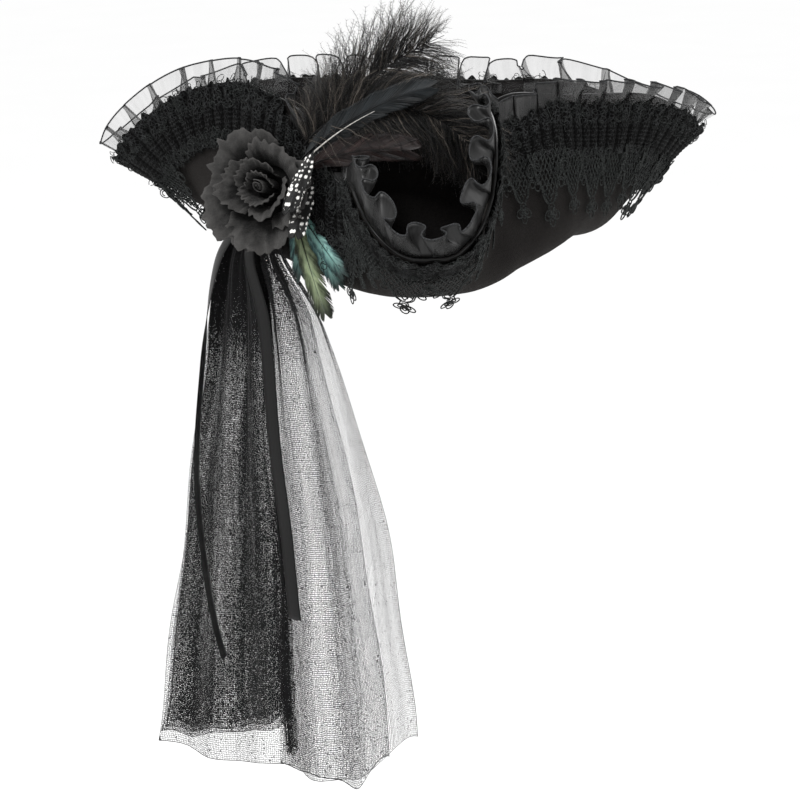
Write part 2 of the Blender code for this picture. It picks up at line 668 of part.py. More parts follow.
def veil_point(brim, across, down, layer, folded=1.0):
    """Point of the veil at a share across its spread and a length below its gather."""
    foot = brim.point(brim.column(VEIL_ANGLE), -VEIL_DOWN * BRIM_DEPTH,
                      patch_face() + SEWN_GAP + VEIL / 2)
    side, out = veil_frame(brim, down)
    share = down / VEIL_LENGTH
    gathered_layer = VEIL + SEWN_GAP
    spacing = gathered_layer + (VEIL_LAYER - gathered_layer) * smooth(share * 10.0)
    reach = (across - VEIL_MIDDLE) * VEIL_SPREAD * veil_width(share, across)
    fold = VEIL_FOLD / 2 * smooth(share * 6.0) * folded
    fold *= 1.0 - math.cos(2.0 * math.pi * VEIL_FOLDS * across)
    clear = layer * spacing - fold + VEIL_CLEAR * smooth(share * 10.0)
    return foot + side * reach + out * clear + np.array([0.0, 0.0, -down])


def make_veil(brim):
    """Tulle veil gathered under the rose: a dark front part and a longer pale part."""
    step = 1.0 / (VEIL_FOLDS * VEIL_COLUMNS_PER_FOLD)
    parts = (("veil_dark", 0, 11, len(VEIL_ROWS) - 1, 1), ("veil_pale", -1, 20, len(VEIL_ROWS), 0))
    for name, first, last, rows, layer in parts:
        points = []
        for column in range(first, last + 1):
            for row in reversed(range(rows)):
                across = column * step
                share = VEIL_ROWS[row]
                down = VEIL_LENGTH * share * (1.0 - (1.0 - veil_hem(across)) * share ** 2)
                points.append(veil_point(brim, across, down, layer))
        finish = material("black_tulle", (0.015, 0.015, 0.017), 0.6, alpha=0.5)
        add_object(name, points, grid_faces(last - first + 1, rows, closed=False), finish, VEIL)


def make_ribbon(brim, row):
    """Narrow satin ribbon that hangs before the veil and ends in a straight cut."""
    steps = RIBBON_STEPS
    points = []
    for step in range(steps + 1):
        share = step / steps
        down = row.length * RIBBON_LENGTH * share
        across = row.start + (row.end - row.start) * share ** 3
        centre = veil_point(brim, across, down, row.layer, folded=0.0)
        side, out = veil_frame(brim, down)
        turn = math.radians(row.twist) * smooth(share * 3.0)
        clear = RIBBON_WIDTH / 2 * math.sin(turn)
        half = (side * math.cos(turn) + out * math.sin(turn)) * RIBBON_WIDTH / 2
        points += [centre + out * clear - half, centre + out * clear + half]
    faces = [(2 * step + 2, 2 * step + 3, 2 * step + 1, 2 * step) for step in range(steps)]
    add_object(row.name, points, faces, material("black_satin", (0.015, 0.015, 0.017), 0.3), RIBBON)


def main():
    remove_everything()
    brim = Brim()
    make_crown()
    make_brim(brim)
    make_lace(brim)
    make_ruffle(brim)
    make_patch(brim)
    make_rose(brim)
    for row in FEATHERS:
        make_feather(brim, row)
    make_veil(brim)
    for row in RIBBONS:
        make_ribbon(brim, row)


main()
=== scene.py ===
"""Black felt tricorn hat with organza frill, Venetian lace, rose, feathers, veil and ribbons.

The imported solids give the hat's sizes and places. This add-on sews the fine pieces round them.
-Y is the front corner, +X is to the right seen from the front and +Z is up. Lengths are in
metres. "Around" is a share of the way round the brim's edge, "past" is a length past the edge
(below zero on the felt) and "lift" stands off the middle of the felt, outwards.
"""
import math
from collections import namedtuple
from functools import cache

import bpy
import numpy as np
from bpy.props import FloatProperty, FloatVectorProperty, IntProperty, PointerProperty
from bpy.types import Operator, Panel, PropertyGroup
from mathutils import Matrix, Vector


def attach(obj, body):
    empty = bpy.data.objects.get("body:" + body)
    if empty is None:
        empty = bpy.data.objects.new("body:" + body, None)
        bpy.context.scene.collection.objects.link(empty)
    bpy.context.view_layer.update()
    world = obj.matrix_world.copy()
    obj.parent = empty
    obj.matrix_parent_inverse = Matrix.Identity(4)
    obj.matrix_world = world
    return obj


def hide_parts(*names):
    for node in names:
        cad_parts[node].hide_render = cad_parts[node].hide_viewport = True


bl_info = {
    "name": "Tricorn hat",
    "version": (1, 0, 0),
    "blender": (4, 5, 0),
    "location": "3D View > Sidebar > Hat",
    "description": "Sews felt, frill, lace, rose, feathers, veil and ribbons round the solids",
    "category": "Add Mesh",
}

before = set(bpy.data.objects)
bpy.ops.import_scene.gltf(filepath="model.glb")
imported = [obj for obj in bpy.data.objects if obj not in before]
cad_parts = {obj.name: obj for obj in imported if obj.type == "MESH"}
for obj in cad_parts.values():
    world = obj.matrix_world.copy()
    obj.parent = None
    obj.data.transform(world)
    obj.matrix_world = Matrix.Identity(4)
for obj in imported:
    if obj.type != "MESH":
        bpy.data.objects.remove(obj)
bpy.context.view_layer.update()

# Sizes of the felt body, as the solids have them
HEAD_WIDTH = 0.162
HEAD_LENGTH = 0.196
CROWN_HEIGHT = 0.100
FELT = 0.002
BRIM_DEPTH = 0.140
BRIM_SWEEP = 0.019
SEWN_GAP = 0.0006
PATCH_FACE = 0.0052       # corsage patch's face off the felt's middle

# The rose, feathers, veil and ribbons, as the solids have them
ROSE_ANGLE, ROSE_DOWN, ROSE_TURN, ROSE_TILT = -47.0, 0.37, 25.0, 0.12
ROSE_RADIUS, ROSE_DEPTH, CUP_RADIUS, CUP_CLEAR = 0.038, 0.026, 0.585, 0.002
PETAL_ANGLE = 24.0
PLUME_LENGTH, PLUME_WIDTH = 0.135, 0.044
FEATHER_LENGTH, FEATHER_WIDTH, FEATHER_WALL, FEATHER_LAYER = 0.080, 0.014, 0.0012, 0.0016
FEATHER_FACING = np.array([-0.35, -0.93, 0.10]) / np.linalg.norm([-0.35, -0.93, 0.10])
VEIL_LENGTH, VEIL_SPREAD, VEIL_GATHER, VEIL_FOLD = 0.364, 0.186, 0.028, 0.010
VEIL_ANGLE, VEIL_DOWN, VEIL_HEADING, VEIL_MIDDLE = -56.0, 0.50, -32.0, 0.415
VEIL_FOLDS, VEIL_CLEAR, VEIL_LAYER = 5, 0.006, 0.0028
RIBBON_LENGTH, RIBBON_WIDTH = 0.257, 0.010

# Walls of the sheets, and the heights that some are cut to
FRILL_WALL, LACE_WALL, PETAL_WALL, NET_WALL, SATIN_WALL = 0.00022, 0.0004, 0.0005, 0.0002, 0.0003
FRILL_CUT, HEART_CUT, PETAL_CUT = 0.024, 0.024, 0.030
CURL_HEADING = 1.85       # steepest heading of a rounded frill curl, in radians
LACE_GAP, PATCH_RISE = 0.0004, 0.0050     # lace's back off the felt, and its rise over the patch

Section = namedtuple("Section", "angle root run turn rise curl depth lean")
SECTIONS = [Section(*row) for row in (
    (-180, 0.16, 0.07, 0.36, 90, 0, 0.91, 0),
    (-150, 0.32, 0.07, 0.36, 88, 0, 0.92, 0),
    (-137, 0.53, 0.07, 0.36, 62, 0, 0.94, 0),
    (-128, 0.68, 0.07, 0.36, 38, 0, 0.99, 0),
    (-120, 0.79, 0.07, 0.36, 25, 0, 1.00, 0),
    (-112, 0.89, 0.07, 0.36, 31, 0, 0.94, 0),
    (-103, 0.95, 0.07, 0.36, 54, 0, 0.89, 0),
    (-90, 1.00, 0.06, 0.33, 80, 0, 0.89, 0),
    (-75, 0.95, 0.03, 0.30, 90, 2, 0.88, 0),
    (-58, 0.79, 0.015, 0.29, 92, 3, 0.86, 0),
    (-42, 0.58, 0.015, 0.28, 96, 3, 0.81, 0),
    (-32, 0.40, 0.03, 0.28, 98, 2, 0.71, 25),
    (-25, 0.21, 0.04, 0.30, 94, 0, 0.63, 70),
    (-19.5, 0.11, 0.06, 0.29, 84, 0, 0.66, 75),
    (-15, 0.05, 0.07, 0.29, 62, 0, 0.80, 62),
    (-10, 0.00, 0.07, 0.29, 36, 0, 0.99, 52),
    (-5, 0.00, 0.07, 0.29, 24, 0, 1.01, 50),
    (0, 0.00, 0.07, 0.29, 22, 0, 1.01, 50),
    (4, 0.00, 0.07, 0.29, 24, 0, 1.01, 50),
    (8.5, 0.00, 0.07, 0.29, 36, 0, 1.01, 50),
    (13, 0.00, 0.07, 0.29, 62, 0, 1.00, 50),
    (18, 0.05, 0.06, 0.29, 90, 0, 0.97, 48),
    (24, 0.16, 0.04, 0.30, 98, 6, 0.94, 22),
    (35, 0.42, 0.015, 0.27, 95, 6, 0.89, 0),
    (58, 0.70, 0.015, 0.29, 91, 4, 0.82, 0),
    (75, 0.82, 0.04, 0.31, 84, 2, 0.82, 0),
    (90, 0.70, 0.10, 0.34, 72, 0, 0.91, 0),
    (103, 0.48, 0.14, 0.36, 52, 0, 0.98, 0),
    (112, 0.42, 0.16, 0.37, 38, 0, 1.05, 0),
    (120, 0.50, 0.16, 0.37, 32.5, 0, 1.09, 0),
    (128, 0.58, 0.11, 0.36, 40, 0, 1.01, 0),
    (137, 0.47, 0.07, 0.36, 62, 0, 0.93, 0),
    (150, 0.32, 0.07, 0.36, 84, 0, 0.88, 0),
)]

Ring = namedtuple("Ring", "radius height")
CROWN_RINGS = [Ring(*row) for row in (
    (1.00, 0.00), (0.99, 0.30), (0.965, 0.58), (0.90, 0.80),
    (0.76, 0.93), (0.50, 0.985), (0.24, 1.00), (0.0, 1.004),
)]

Petal = namedtuple("Petal", "turn steps foot flare height")
PETALS = [Petal(*row) for row in (
    (0, 8, 0.150, 0.05, 0.98),
    (7, 7, 0.195, 0.08, 1.00),
    (2, 6, 0.240, 0.14, 1.00),
    (10, 6, 0.285, 0.20, 0.98),
    (5, 5, 0.330, 0.27, 0.95),
    (0, 5, 0.375, 0.33, 0.92),
    (12, 5, 0.420, 0.40, 0.88),
    (3, 5, 0.465, 0.44, 0.82),
    (9, 5, 0.510, 0.46, 0.76),
    (7, 5, 0.555, 0.46, 0.70),
)]

Feather = namedtuple(
    "Feather", "name plume angle down layer heading tip_heading lean tip_lean length width")
FEATHERS = [Feather(*row) for row in (
    ("plume_tall", True, -38, 0.07, 0, 50, 20, 24, -20, 0.82, 1.00),
    ("plume_sweeping", True, -37, 0.09, 1, 58, -60, 30, -4, 0.96, 0.90),
    ("goose_blue", False, -36, 0.12, 2, 48, 14, 30, 18, 1.25, 1.10),
    ("goose_plum", False, -35, 0.15, 3, 32, -6, 32, 24, 0.95, 1.20),
    ("guinea_1", False, -25.5, -0.12, 4, -120, -114, 34, 28, 0.50, 0.70),
    ("guinea_2", False, -28.5, -0.05, 4, -116, -110, 34, 28, 0.50, 0.76),
    ("guinea_3", False, -27.5, 0.03, 3, -116, -106, 32, 26, 0.48, 0.80),
    ("coque_1", False, -39, 0.37, 0, -90, -84, 24, 8, 0.52, 0.80),
    ("coque_2", False, -38.0, 0.36, 2, -78, -72, 26, 8, 0.84, 0.95),
    ("coque_3", False, -36.0, 0.33, 1, -66, -62, 30, 14, 0.66, 0.80),
    ("coque_4", False, -34.5, 0.32, 3, -56, -54, 34, 22, 0.60, 0.72),
)]

# Barbs and shaft of each kind of flat feather
Vane = namedtuple("Vane", "pitch sweep ragged finish shaft_finish shaft slot")
VANES = {
    "goose_blue": Vane(0.00055, 34.0, 0.8, "goose_blue_black", "goose_blue_black", 0.0006,
                       "goose_dark"),
    "goose_plum": Vane(0.00055, 30.0, 0.5, "goose_plum_black", "goose_plum_black", 0.0006,
                       "goose_dark"),
    "guinea": Vane(0.00045, 38.0, 0.5, "guinea_spotted", "guinea_spotted", 0.0004,
                   "guinea_spotted"),
    "coque": Vane(0.00040, 33.0, 1.0, "coque_teal", "goose_blue_black", 0.0004, "coque_green"),
    "coque_2": Vane(0.00040, 33.0, 1.0, "coque_olive", "goose_blue_black", 0.0004, "coque_green"),
}
BARB_WIDTH, BARB_WALL = 1.6, 0.00022      # a flat barb's width in pitches, and its thickness
PLUME_SHAFT, PLUME_HAIR, QUILL = 0.0009, 0.0019, 0.00055

Ribbon = namedtuple("Ribbon", "name start end length twist layer")
RIBBONS = [
    Ribbon("ribbon_front", 0.52, 0.56, 1.00, 10, 2),
    Ribbon("ribbon_side", 0.05, 0.27, 1.12, 75, 2),
]

# The sheets of the veil: the part of its width that each covers, its layers, how far it stands
# off the veil's back, its length, how much shorter its left and right corners are, and how much
# its hem slants.
Net = namedtuple("Net", "name low high layers stand drop corners slant finish seed")
NETS = [Net(*row) for row in (
    ("tulle_pale", 0.0, 0.99, 1, 0.0, 0.995, (0.01, 0.10), 0.0, "pale_tulle", 55),
    ("tulle_pale_inner", 0.44, 0.86, 1, 0.0016, 1.0, (0.02, 0.06), 0.0, "pale_tulle", 58),
    ("tulle_narrow_fold", 0.455, 0.515, 3, 0.0050, 0.965, (0.01, 0.01), 0.0, "dark_tulle", 63),
    ("tulle_dark", 0.012, 0.50, 3, 0.0030, 0.975, (0.01, 0.01), 0.070, "dark_tulle", 61),
)]

# The frill round the edge: its lean into the hat, how much less its wide panels lean,
# how deep its pleats are at the free edge and how far each wide panel bulges outwards there.
Frill = namedtuple("Frill", "angle lean flare depth bulge")
FRILL = [Frill(*row) for row in (
    (-180, 74, 58, 0.004, 0.007), (-150, 72, 56, 0.004, 0.007),
    (-137, 44, 34, 0.003, 0.004), (-122, 0, 0, 0.0022, 0.000),
    (-100, 0, 0, 0.0022, 0.000), (-75, 0, 0, 0.0022, 0.000),
    (-50, 0, 6, 0.004, 0.002), (-36, 12, 10, 0.006, 0.003),
    (-25, 24, 0, 0.009, 0.000), (-10, 20, 0, 0.013, 0.000),
    (0, 20, 0, 0.013, 0.000), (15, 22, 0, 0.012, 0.000),
    (24, 8, 0, 0.004, 0.001), (35, -2, 0, 0.0025, 0.001),
    (58, 2, 6, 0.004, 0.002), (80, 14, 14, 0.004, 0.005),
    (102, 18, 16, 0.004, 0.005), (120, 0, 0, 0.003, 0.001),
    (137, 44, 34, 0.003, 0.004), (150, 72, 56, 0.004, 0.007),
)]

# One box pleat as shares of a pitch, at the felt and at the free edge, where it fans out: a wide
# panel outside, a fold back, a narrow panel inside and a fold back.
Fold = namedtuple("Fold", "run free_run height")
BOX_PLEAT = [Fold(*row) for row in (
    (0.000, 0.000, 0.80), (0.060, 0.060, 0.96), (0.200, 0.240, 1.00),
    (0.400, 0.480, 1.00), (0.600, 0.740, 1.00), (0.720, 0.900, 0.96),
    (0.770, 0.950, 0.80), (0.775, 0.955, 0.66), (0.740, 0.945, 0.50),
    (0.690, 0.930, 0.34), (0.680, 0.925, 0.16), (0.760, 0.945, 0.03),
    (0.870, 0.972, 0.00), (0.980, 0.996, 0.03), (1.055, 1.014, 0.16),
    (1.050, 1.012, 0.34), (1.020, 1.004, 0.58),
)]

# Curls beside a lace motif's cords, and the petals of its drop
Curl = namedtuple("Curl", "height size turns")
MOTIF_CURLS = [Curl(-0.004, 0.0046, 1.6), Curl(-0.013, 0.0034, 1.4)]
DropPetal = namedtuple("DropPetal", "angle reach")
DROP_PETALS = [DropPetal(-90.0, 0.0086), DropPetal(-150.0, 0.0072), DropPetal(-30.0, 0.0072),
               DropPetal(90.0, 0.0050)]

Light = namedtuple("Light", "name place size power")
LIGHTS = [Light("key", (-1.2, -1.7, 1.9), 0.8, 75.0), Light("fill", (1.9, -1.2, 0.6), 1.0, 20.0),
          Light("back", (0.6, 1.8, 1.6), 1.0, 30.0)]

UP = np.array([0.0, 0.0, 1.0])


def spout_share(angle):
    """One inside the front spout, where the frill is dense and stands in rounded curls."""
    return smooth((angle + 31.0) / 6.0) * smooth((25.0 - angle) / 6.0)


def seam_drop(angle):
    """How far below the felt edge the frill and the lace are sewn on, each side of the spout."""
    right = 0.016 * smooth((angle - 19.0) / 5.0) * (1.0 - 0.62 * smooth((angle - 33.0) / 20.0))
    right = right * smooth((106.0 - angle) / 18.0)
    left = 0.009 * smooth((angle + 52.0) / 12.0) * smooth((-29.0 - angle) / 4.0)
    return right + left


def summed(steps):
    """Running sum of steps, from zero."""
    return np.concatenate(([0.0], np.cumsum(steps)))


def curl_profile(phase):
    """Run and height of one rounded curl that overhangs a little, as shares."""
    fine = np.linspace(0.0, 1.0, 401)
    heading = CURL_HEADING * np.sin(2.0 * math.pi * (fine[1:] + fine[:-1]) / 2)
    run, height = summed(np.cos(heading)), summed(np.sin(heading))
    return (np.interp(phase, fine, run / run[-1]),
            1.0 - np.interp(phase, fine, height / height.max()))


def unit(vectors):
    """The vectors at length one."""
    return vectors / np.maximum(np.linalg.norm(vectors, axis=-1, keepdims=True), 1e-12)


def smooth(share):
    """Ease from 0 to 1."""
    share = np.clip(share, 0.0, 1.0)
    return share * share * (3.0 - 2.0 * share)


def row_at(table, angle):
    """A table's row at any angle, on a smooth curve through the rows round the hat."""
    angle = (angle + 180.0) % 360.0 - 180.0
    count = len(table)
    after = next((i for i in range(count) if table[i].angle > angle), count)

    def row(index):
        turns, place = divmod(index, count)
        values = np.array(table[place], dtype=float)
        values[0] += 360.0 * turns
        return values

    before, start, end, beyond = (row(after + shift) for shift in (-2, -1, 0, 1))
    width = end[0] - start[0]
    share = (angle - start[0]) / width
    start_slope = (end - before) / (end[0] - before[0]) * width
    end_slope = (beyond - start) / (beyond[0] - start[0]) * width
    square, cube = share ** 2, share ** 3
    values = ((2 * cube - 3 * square + 1) * start + (cube - 2 * square + share) * start_slope
              + (3 * square - 2 * cube) * end + (cube - square) * end_slope)
    return type(table[0])(angle, *values[1:])


def head_radius(angle):
    """Radius of the head opening's outline, in the middle of the felt."""
    turn = math.radians(angle)
    return 1.0 / math.hypot(math.sin(turn) / ((HEAD_WIDTH + FELT) / 2),
                            math.cos(turn) / ((HEAD_LENGTH + FELT) / 2))


class Brim:
    """Middle of the brim's felt as a fine grid, with points found in between."""

    COLUMNS = 720
    STEPS = 70          # along one section
    INSIDE = 0.157      # how far the grid reaches from the edge, past the deepest root
    CELL = 0.001
    ROUND_STEP, RISE_STEP = 0.5 / 96, 0.002      # steps between which a face's slope is taken

    def __init__(self):
        fine = np.linspace(-180.0, 180.0, self.COLUMNS + 1)
        lines = [self.section(angle) for angle in fine]
        root = np.array([line[0] * line[3][0] + UP * line[4][0] for line in lines])
        edge = np.array([line[0] * line[3][-1] + UP * line[4][-1] for line in lines])
        steps = (np.linalg.norm(np.diff(root, axis=0), axis=1)
                 + np.linalg.norm(np.diff(edge, axis=0), axis=1))
        length = summed(steps)
        self.shares = np.linspace(0.0, 1.0, self.COLUMNS + 1)
        self.angles = np.interp(np.linspace(0.0, length[-1], self.COLUMNS + 1), length, fine)
        self.past = np.arange(-self.INSIDE, self.CELL, self.CELL)
        self.grid = np.zeros((self.COLUMNS + 1, len(self.past), 3))
        self.slope = np.zeros(self.COLUMNS + 1)
        self.out = np.zeros((self.COLUMNS + 1, 3))
        self.depth = np.zeros(self.COLUMNS + 1)
        for column, angle in enumerate(self.angles):
            out, depth, along, reach, rise, slope = self.section(angle)
            inside = np.clip(depth + self.past, 0.0, depth)
            flat = np.interp(inside, along, reach) + np.minimum(depth + self.past, 0.0)
            self.grid[column] = flat[:, None] * out + np.interp(inside, along, rise)[:, None] * UP
            self.slope[column], self.out[column], self.depth[column] = slope[-1], out, depth
        edges = self.grid[:, -1]
        self.rim_length = float(np.sum(np.linalg.norm(np.diff(edges, axis=0), axis=1)))

    def section(self, angle):
        """Out, depth, and the length, reach, rise and slope along one section of the brim."""
        values = row_at(SECTIONS, angle)
        turn = math.radians(angle)
        depth, run, bend = (share * BRIM_DEPTH for share in (values.depth, values.run, values.turn))
        along = np.linspace(0.0, depth, self.STEPS)
        curl = np.clip((along - run - bend) / (depth - run - bend), 0.0, 1.0)
        slope = (np.radians(values.rise) * smooth((along - run) / bend)
                 + np.radians(values.curl) * curl)
        middle = (slope[1:] + slope[:-1]) / 2
        reach = head_radius(angle) + summed(np.cos(middle) * along[1])
        rise = values.root * BRIM_SWEEP + summed(np.sin(middle) * along[1])
        return np.array([math.sin(turn), -math.cos(turn), 0.0]), depth, along, reach, rise, slope

    def around(self, angle):
        """Share of the way round at an angle."""
        return np.interp(angle, self.angles, self.shares)

    def angle(self, around):
        """Angle at a share of the way round."""
        return np.interp(np.asarray(around) % 1.0, self.shares, self.angles)

    def middle(self, around, past, lean=0.0):
        """Points of the felt's middle. Past the edge they run straight, leaning inwards."""
        around, past, lean = np.broadcast_arrays(np.asarray(around, float), past, lean)
        place = (around % 1.0) * self.COLUMNS
        first = np.minimum(place.astype(int), self.COLUMNS - 1)
        share = (place - first)[..., None]
        row = np.clip((past + self.INSIDE) / self.CELL, 0.0, len(self.past) - 1.0001)
        low = row.astype(int)
        rest = (row - low)[..., None]
        near = self.grid[first, low] * (1 - rest) + self.grid[first, low + 1] * rest
        far = self.grid[first + 1, low] * (1 - rest) + self.grid[first + 1, low + 1] * rest
        slope = (self.slope[first] * (1 - share[..., 0])
                 + self.slope[first + 1] * share[..., 0]) + lean
        out = self.out[first] * (1 - share) + self.out[first + 1] * share
        straight = out * np.cos(slope)[..., None] + UP * np.sin(slope)[..., None]
        return near * (1 - share) + far * share + straight * np.maximum(past, 0.0)[..., None]

    def outward(self, around, past, lean=0.0):
        """Directions out of the brim's outer face."""
        across = (self.middle(around + self.ROUND_STEP, past, lean)
                  - self.middle(around - self.ROUND_STEP, past, lean))
        up = (self.middle(around, past + self.RISE_STEP, lean)
              - self.middle(around, past - self.RISE_STEP, lean))
        return unit(np.cross(across, up))

    def point(self, around, past, lift, lean=0.0):
        """Points that stand a lift off the felt's middle, outwards."""
        return (self.middle(around, past, lean)
                + self.outward(around, past, lean) * np.asarray(lift)[..., None])


BRIM = Brim()


def share_of(count, closed=False):
    """Even shares from 0 to 1."""
    return np.linspace(0.0, 1.0, count, endpoint=not closed)


def wander(share, seed, waves, closed=False):
    """Smooth random values between about -1 and 1 along a share from 0 to 1."""
    rng = np.random.default_rng(seed)
    total = np.zeros_like(np.asarray(share, float))
    for wave in waves:
        turns = 2.0 * math.pi * wave * (1.0 if closed else 0.97)
        total += np.sin(turns * share + rng.uniform(0.0, 2.0 * math.pi)) * rng.uniform(0.6, 1.0)
    return total / math.sqrt(len(waves))


def side_by_side(*values):
    """Points or places from their coordinates."""
    return np.stack(np.broadcast_arrays(*values), axis=-1)


def link(name, data):
    """An object of some data, in the scene."""
    thing = bpy.data.objects.new(name, data)
    bpy.context.scene.collection.objects.link(thing)
    return thing


def new_object(name, points, faces=()):
    """An object of one mesh with smooth faces, in the scene."""
    mesh = bpy.data.meshes.new(name)
    mesh.from_pydata(np.asarray(points, float).tolist(), [],
                     faces.tolist() if isinstance(faces, np.ndarray) else faces)
    mesh.shade_smooth()
    return link(name, mesh)


def points_of(mesh):
    """Places of a mesh's points."""
    places = np.zeros(len(mesh.vertices) * 3, np.float32)
    mesh.vertices.foreach_get("co", places)
    return places.reshape(-1, 3)


def set_values(mesh, name, values, kind="FLOAT"):
    """Give each point of a mesh a value or a vector."""
    mesh.attributes.new(name, kind, "POINT").data.foreach_set(
        "vector" if kind == "FLOAT_VECTOR" else "value", np.asarray(values, np.float32).ravel())


def set_uv(mesh, places):
    """Give a mesh a UV map from one place for each point."""
    layer = mesh.uv_layers.new(name="cloth")
    corner = np.zeros(len(mesh.loops), dtype=np.int32)
    mesh.loops.foreach_get("vertex_index", corner)
    layer.data.foreach_set("uv", np.asarray(places, np.float32)[corner].ravel())


def add_mesh(name, points, faces, finish):
    """Add one mesh object with its finish, riding on the hat."""
    thing = new_object(name, points, faces)
    thing.data.materials.append(finish)
    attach(thing, "root")
    return thing


def grid_faces(columns, rows, closed=False):
    """Faces between a grid's points. A closed grid joins its last column to its first."""
    column, row = np.meshgrid(np.arange(columns if closed else columns - 1), np.arange(rows - 1),
                              indexing="ij")
    near, far = column * rows + row, (column + 1) % columns * rows + row
    return side_by_side(near, far, far + 1, near + 1).reshape(-1, 4)


def thicken(thing, wall):
    """Give a sheet its wall, half on each side."""
    modifier = thing.modifiers.new("wall", "SOLIDIFY")
    modifier.thickness = wall
    modifier.offset = 0.0


def cloth(name, grid, finish, wall, size, closed=False):
    """A sheet of cloth from a grid of points, with a UV map in metres and a real thickness."""
    columns, rows = grid.shape[:2]
    thing = add_mesh(name, grid.reshape(-1, 3), grid_faces(columns, rows, closed), finish)
    across, down = np.meshgrid(share_of(columns, closed) * size[0], share_of(rows) * size[1],
                               indexing="ij")
    set_uv(thing.data, side_by_side(across, down).reshape(-1, 2))
    thicken(thing, wall)
    return thing


def tubes(lines, radius, sides=4):
    """Points and faces of closed round threads that follow lines of points."""
    points, faces = [], []
    start = 0
    turn = 2.0 * math.pi * np.arange(sides) / sides
    guide = np.array([0.31, 0.27, 0.91])
    for line in lines:
        line = np.asarray(line, float)
        ahead = unit(np.gradient(line, axis=0))
        side = unit(np.cross(ahead, guide))
        other = np.cross(ahead, side)
        width = np.broadcast_to(radius, len(line))
        ring = (line[:, None] + (side[:, None] * np.cos(turn)[None, :, None]
                                 + other[:, None] * np.sin(turn)[None, :, None])
                * width[:, None, None])
        points.append(ring.reshape(-1, 3))
        last = start + (len(line) - 1) * sides
        for low in range(start, last, sides):
            for corner in range(sides):
                after = (corner + 1) % sides
                faces.append((low + corner, low + after, low + sides + after, low + sides + corner))
        faces.append(tuple(range(start + sides - 1, start - 1, -1)))
        faces.append(tuple(range(last, last + sides)))
        start = last + sides
    return np.concatenate(points), faces


def threads(name, lines, radius, finish, sides=4):
    """One object of closed round threads."""
    points, faces = tubes(lines, radius, sides)
    return add_mesh(name, points, faces, finish)


@cache
def repeat_tree():
    """Geometry nodes that set a piece on every point, turned and sized by its attributes."""
    tree = bpy.data.node_groups.new("Set on points", "GeometryNodeTree")
    for name, way, kind in (("Geometry", "INPUT", "Geometry"), ("Piece", "INPUT", "Object"),
                            ("Size", "INPUT", "Float"), ("Finish", "INPUT", "Material"),
                            ("Geometry", "OUTPUT", "Geometry")):
        tree.interface.new_socket(name, in_out=way, socket_type="NodeSocket" + kind)
    nodes = {key: tree.nodes.new(kind) for key, kind in (
        ("entry", "NodeGroupInput"), ("piece", "GeometryNodeObjectInfo"),
        ("turn", "GeometryNodeInputNamedAttribute"), ("size", "GeometryNodeInputNamedAttribute"),
        ("rotation", "FunctionNodeEulerToRotation"), ("scale", "ShaderNodeVectorMath"),
        ("place", "GeometryNodeInstanceOnPoints"), ("realize", "GeometryNodeRealizeInstances"),
        ("finish", "GeometryNodeSetMaterial"), ("leave", "NodeGroupOutput"))}
    for key in ("turn", "size"):
        nodes[key].data_type = "FLOAT_VECTOR"
        nodes[key].inputs["Name"].default_value = key
    nodes["scale"].operation = "SCALE"
    for start, output, end, socket in (
            ("entry", "Piece", "piece", "Object"), ("entry", "Geometry", "place", "Points"),
            ("piece", "Geometry", "place", "Instance"), ("turn", "Attribute", "rotation", "Euler"),
            ("rotation", "Rotation", "place", "Rotation"), ("size", "Attribute", "scale", 0),
            ("entry", "Size", "scale", "Scale"), ("scale", "Vector", "place", "Scale"),
            ("place", "Instances", "realize", "Geometry"),
            ("realize", "Geometry", "finish", "Geometry"),
            ("entry", "Finish", "finish", "Material"), ("finish", "Geometry", "leave", "Geometry")):
        tree.links.new(nodes[start].outputs[output], nodes[end].inputs[socket])
    return tree


def euler(ahead, side, out):
    """Turns of XYZ order that bring X, Y and Z to three square directions."""
    return side_by_side(np.arctan2(side[:, 2], out[:, 2]),
                        np.arcsin(np.clip(-ahead[:, 2], -1.0, 1.0)),
                        np.arctan2(ahead[:, 1], ahead[:, 0]))


def set_on_points(piece, points, ahead, out, sizes, shades, finish):
    """Mesh of a piece repeated on points, its X along ahead and its Z towards out."""
    ahead = unit(ahead)
    side = unit(np.cross(out, ahead))
    holder = new_object("points", points)
    set_values(holder.data, "turn", euler(ahead, side, np.cross(ahead, side)), "FLOAT_VECTOR")
    set_values(holder.data, "size", sizes, "FLOAT_VECTOR")
    set_values(holder.data, "shade", shades)
    modifier = holder.modifiers.new("set", "NODES")
    modifier.node_group = repeat_tree()
    inputs = {item.name: item.identifier for item in repeat_tree().interface.items_tree
              if item.in_out == "INPUT"}
    for name, value in (("Piece", piece), ("Size", 1.0), ("Finish", finish)):
        modifier[inputs[name]] = value
    graph = bpy.context.evaluated_depsgraph_get()
    made = bpy.data.meshes.new_from_object(holder.evaluated_get(graph))
    holder.modifiers.clear()
    remove_pieces([holder])
    return made


def join_meshes(name, meshes, finish):
    """One object of several meshes, with the shade of each point kept."""
    points, faces, shades = [], [], []
    start = 0
    for mesh in meshes:
        points.append(points_of(mesh))
        faces += [tuple(start + vertex for vertex in face.vertices) for face in mesh.polygons]
        shade = np.zeros(len(mesh.vertices), np.float32)
        mesh.attributes["shade"].data.foreach_get("value", shade)
        shades.append(shade)
        start += len(shade)
        bpy.data.meshes.remove(mesh)
    thing = add_mesh(name, np.concatenate(points), faces, finish)
    set_values(thing.data, "shade", np.concatenate(shades))
    return thing


def remove_pieces(pieces):
    """Remove pieces that were only there to be repeated."""
    for piece in pieces:
        mesh = piece.data
        bpy.data.objects.remove(piece)
        bpy.data.meshes.remove(mesh)


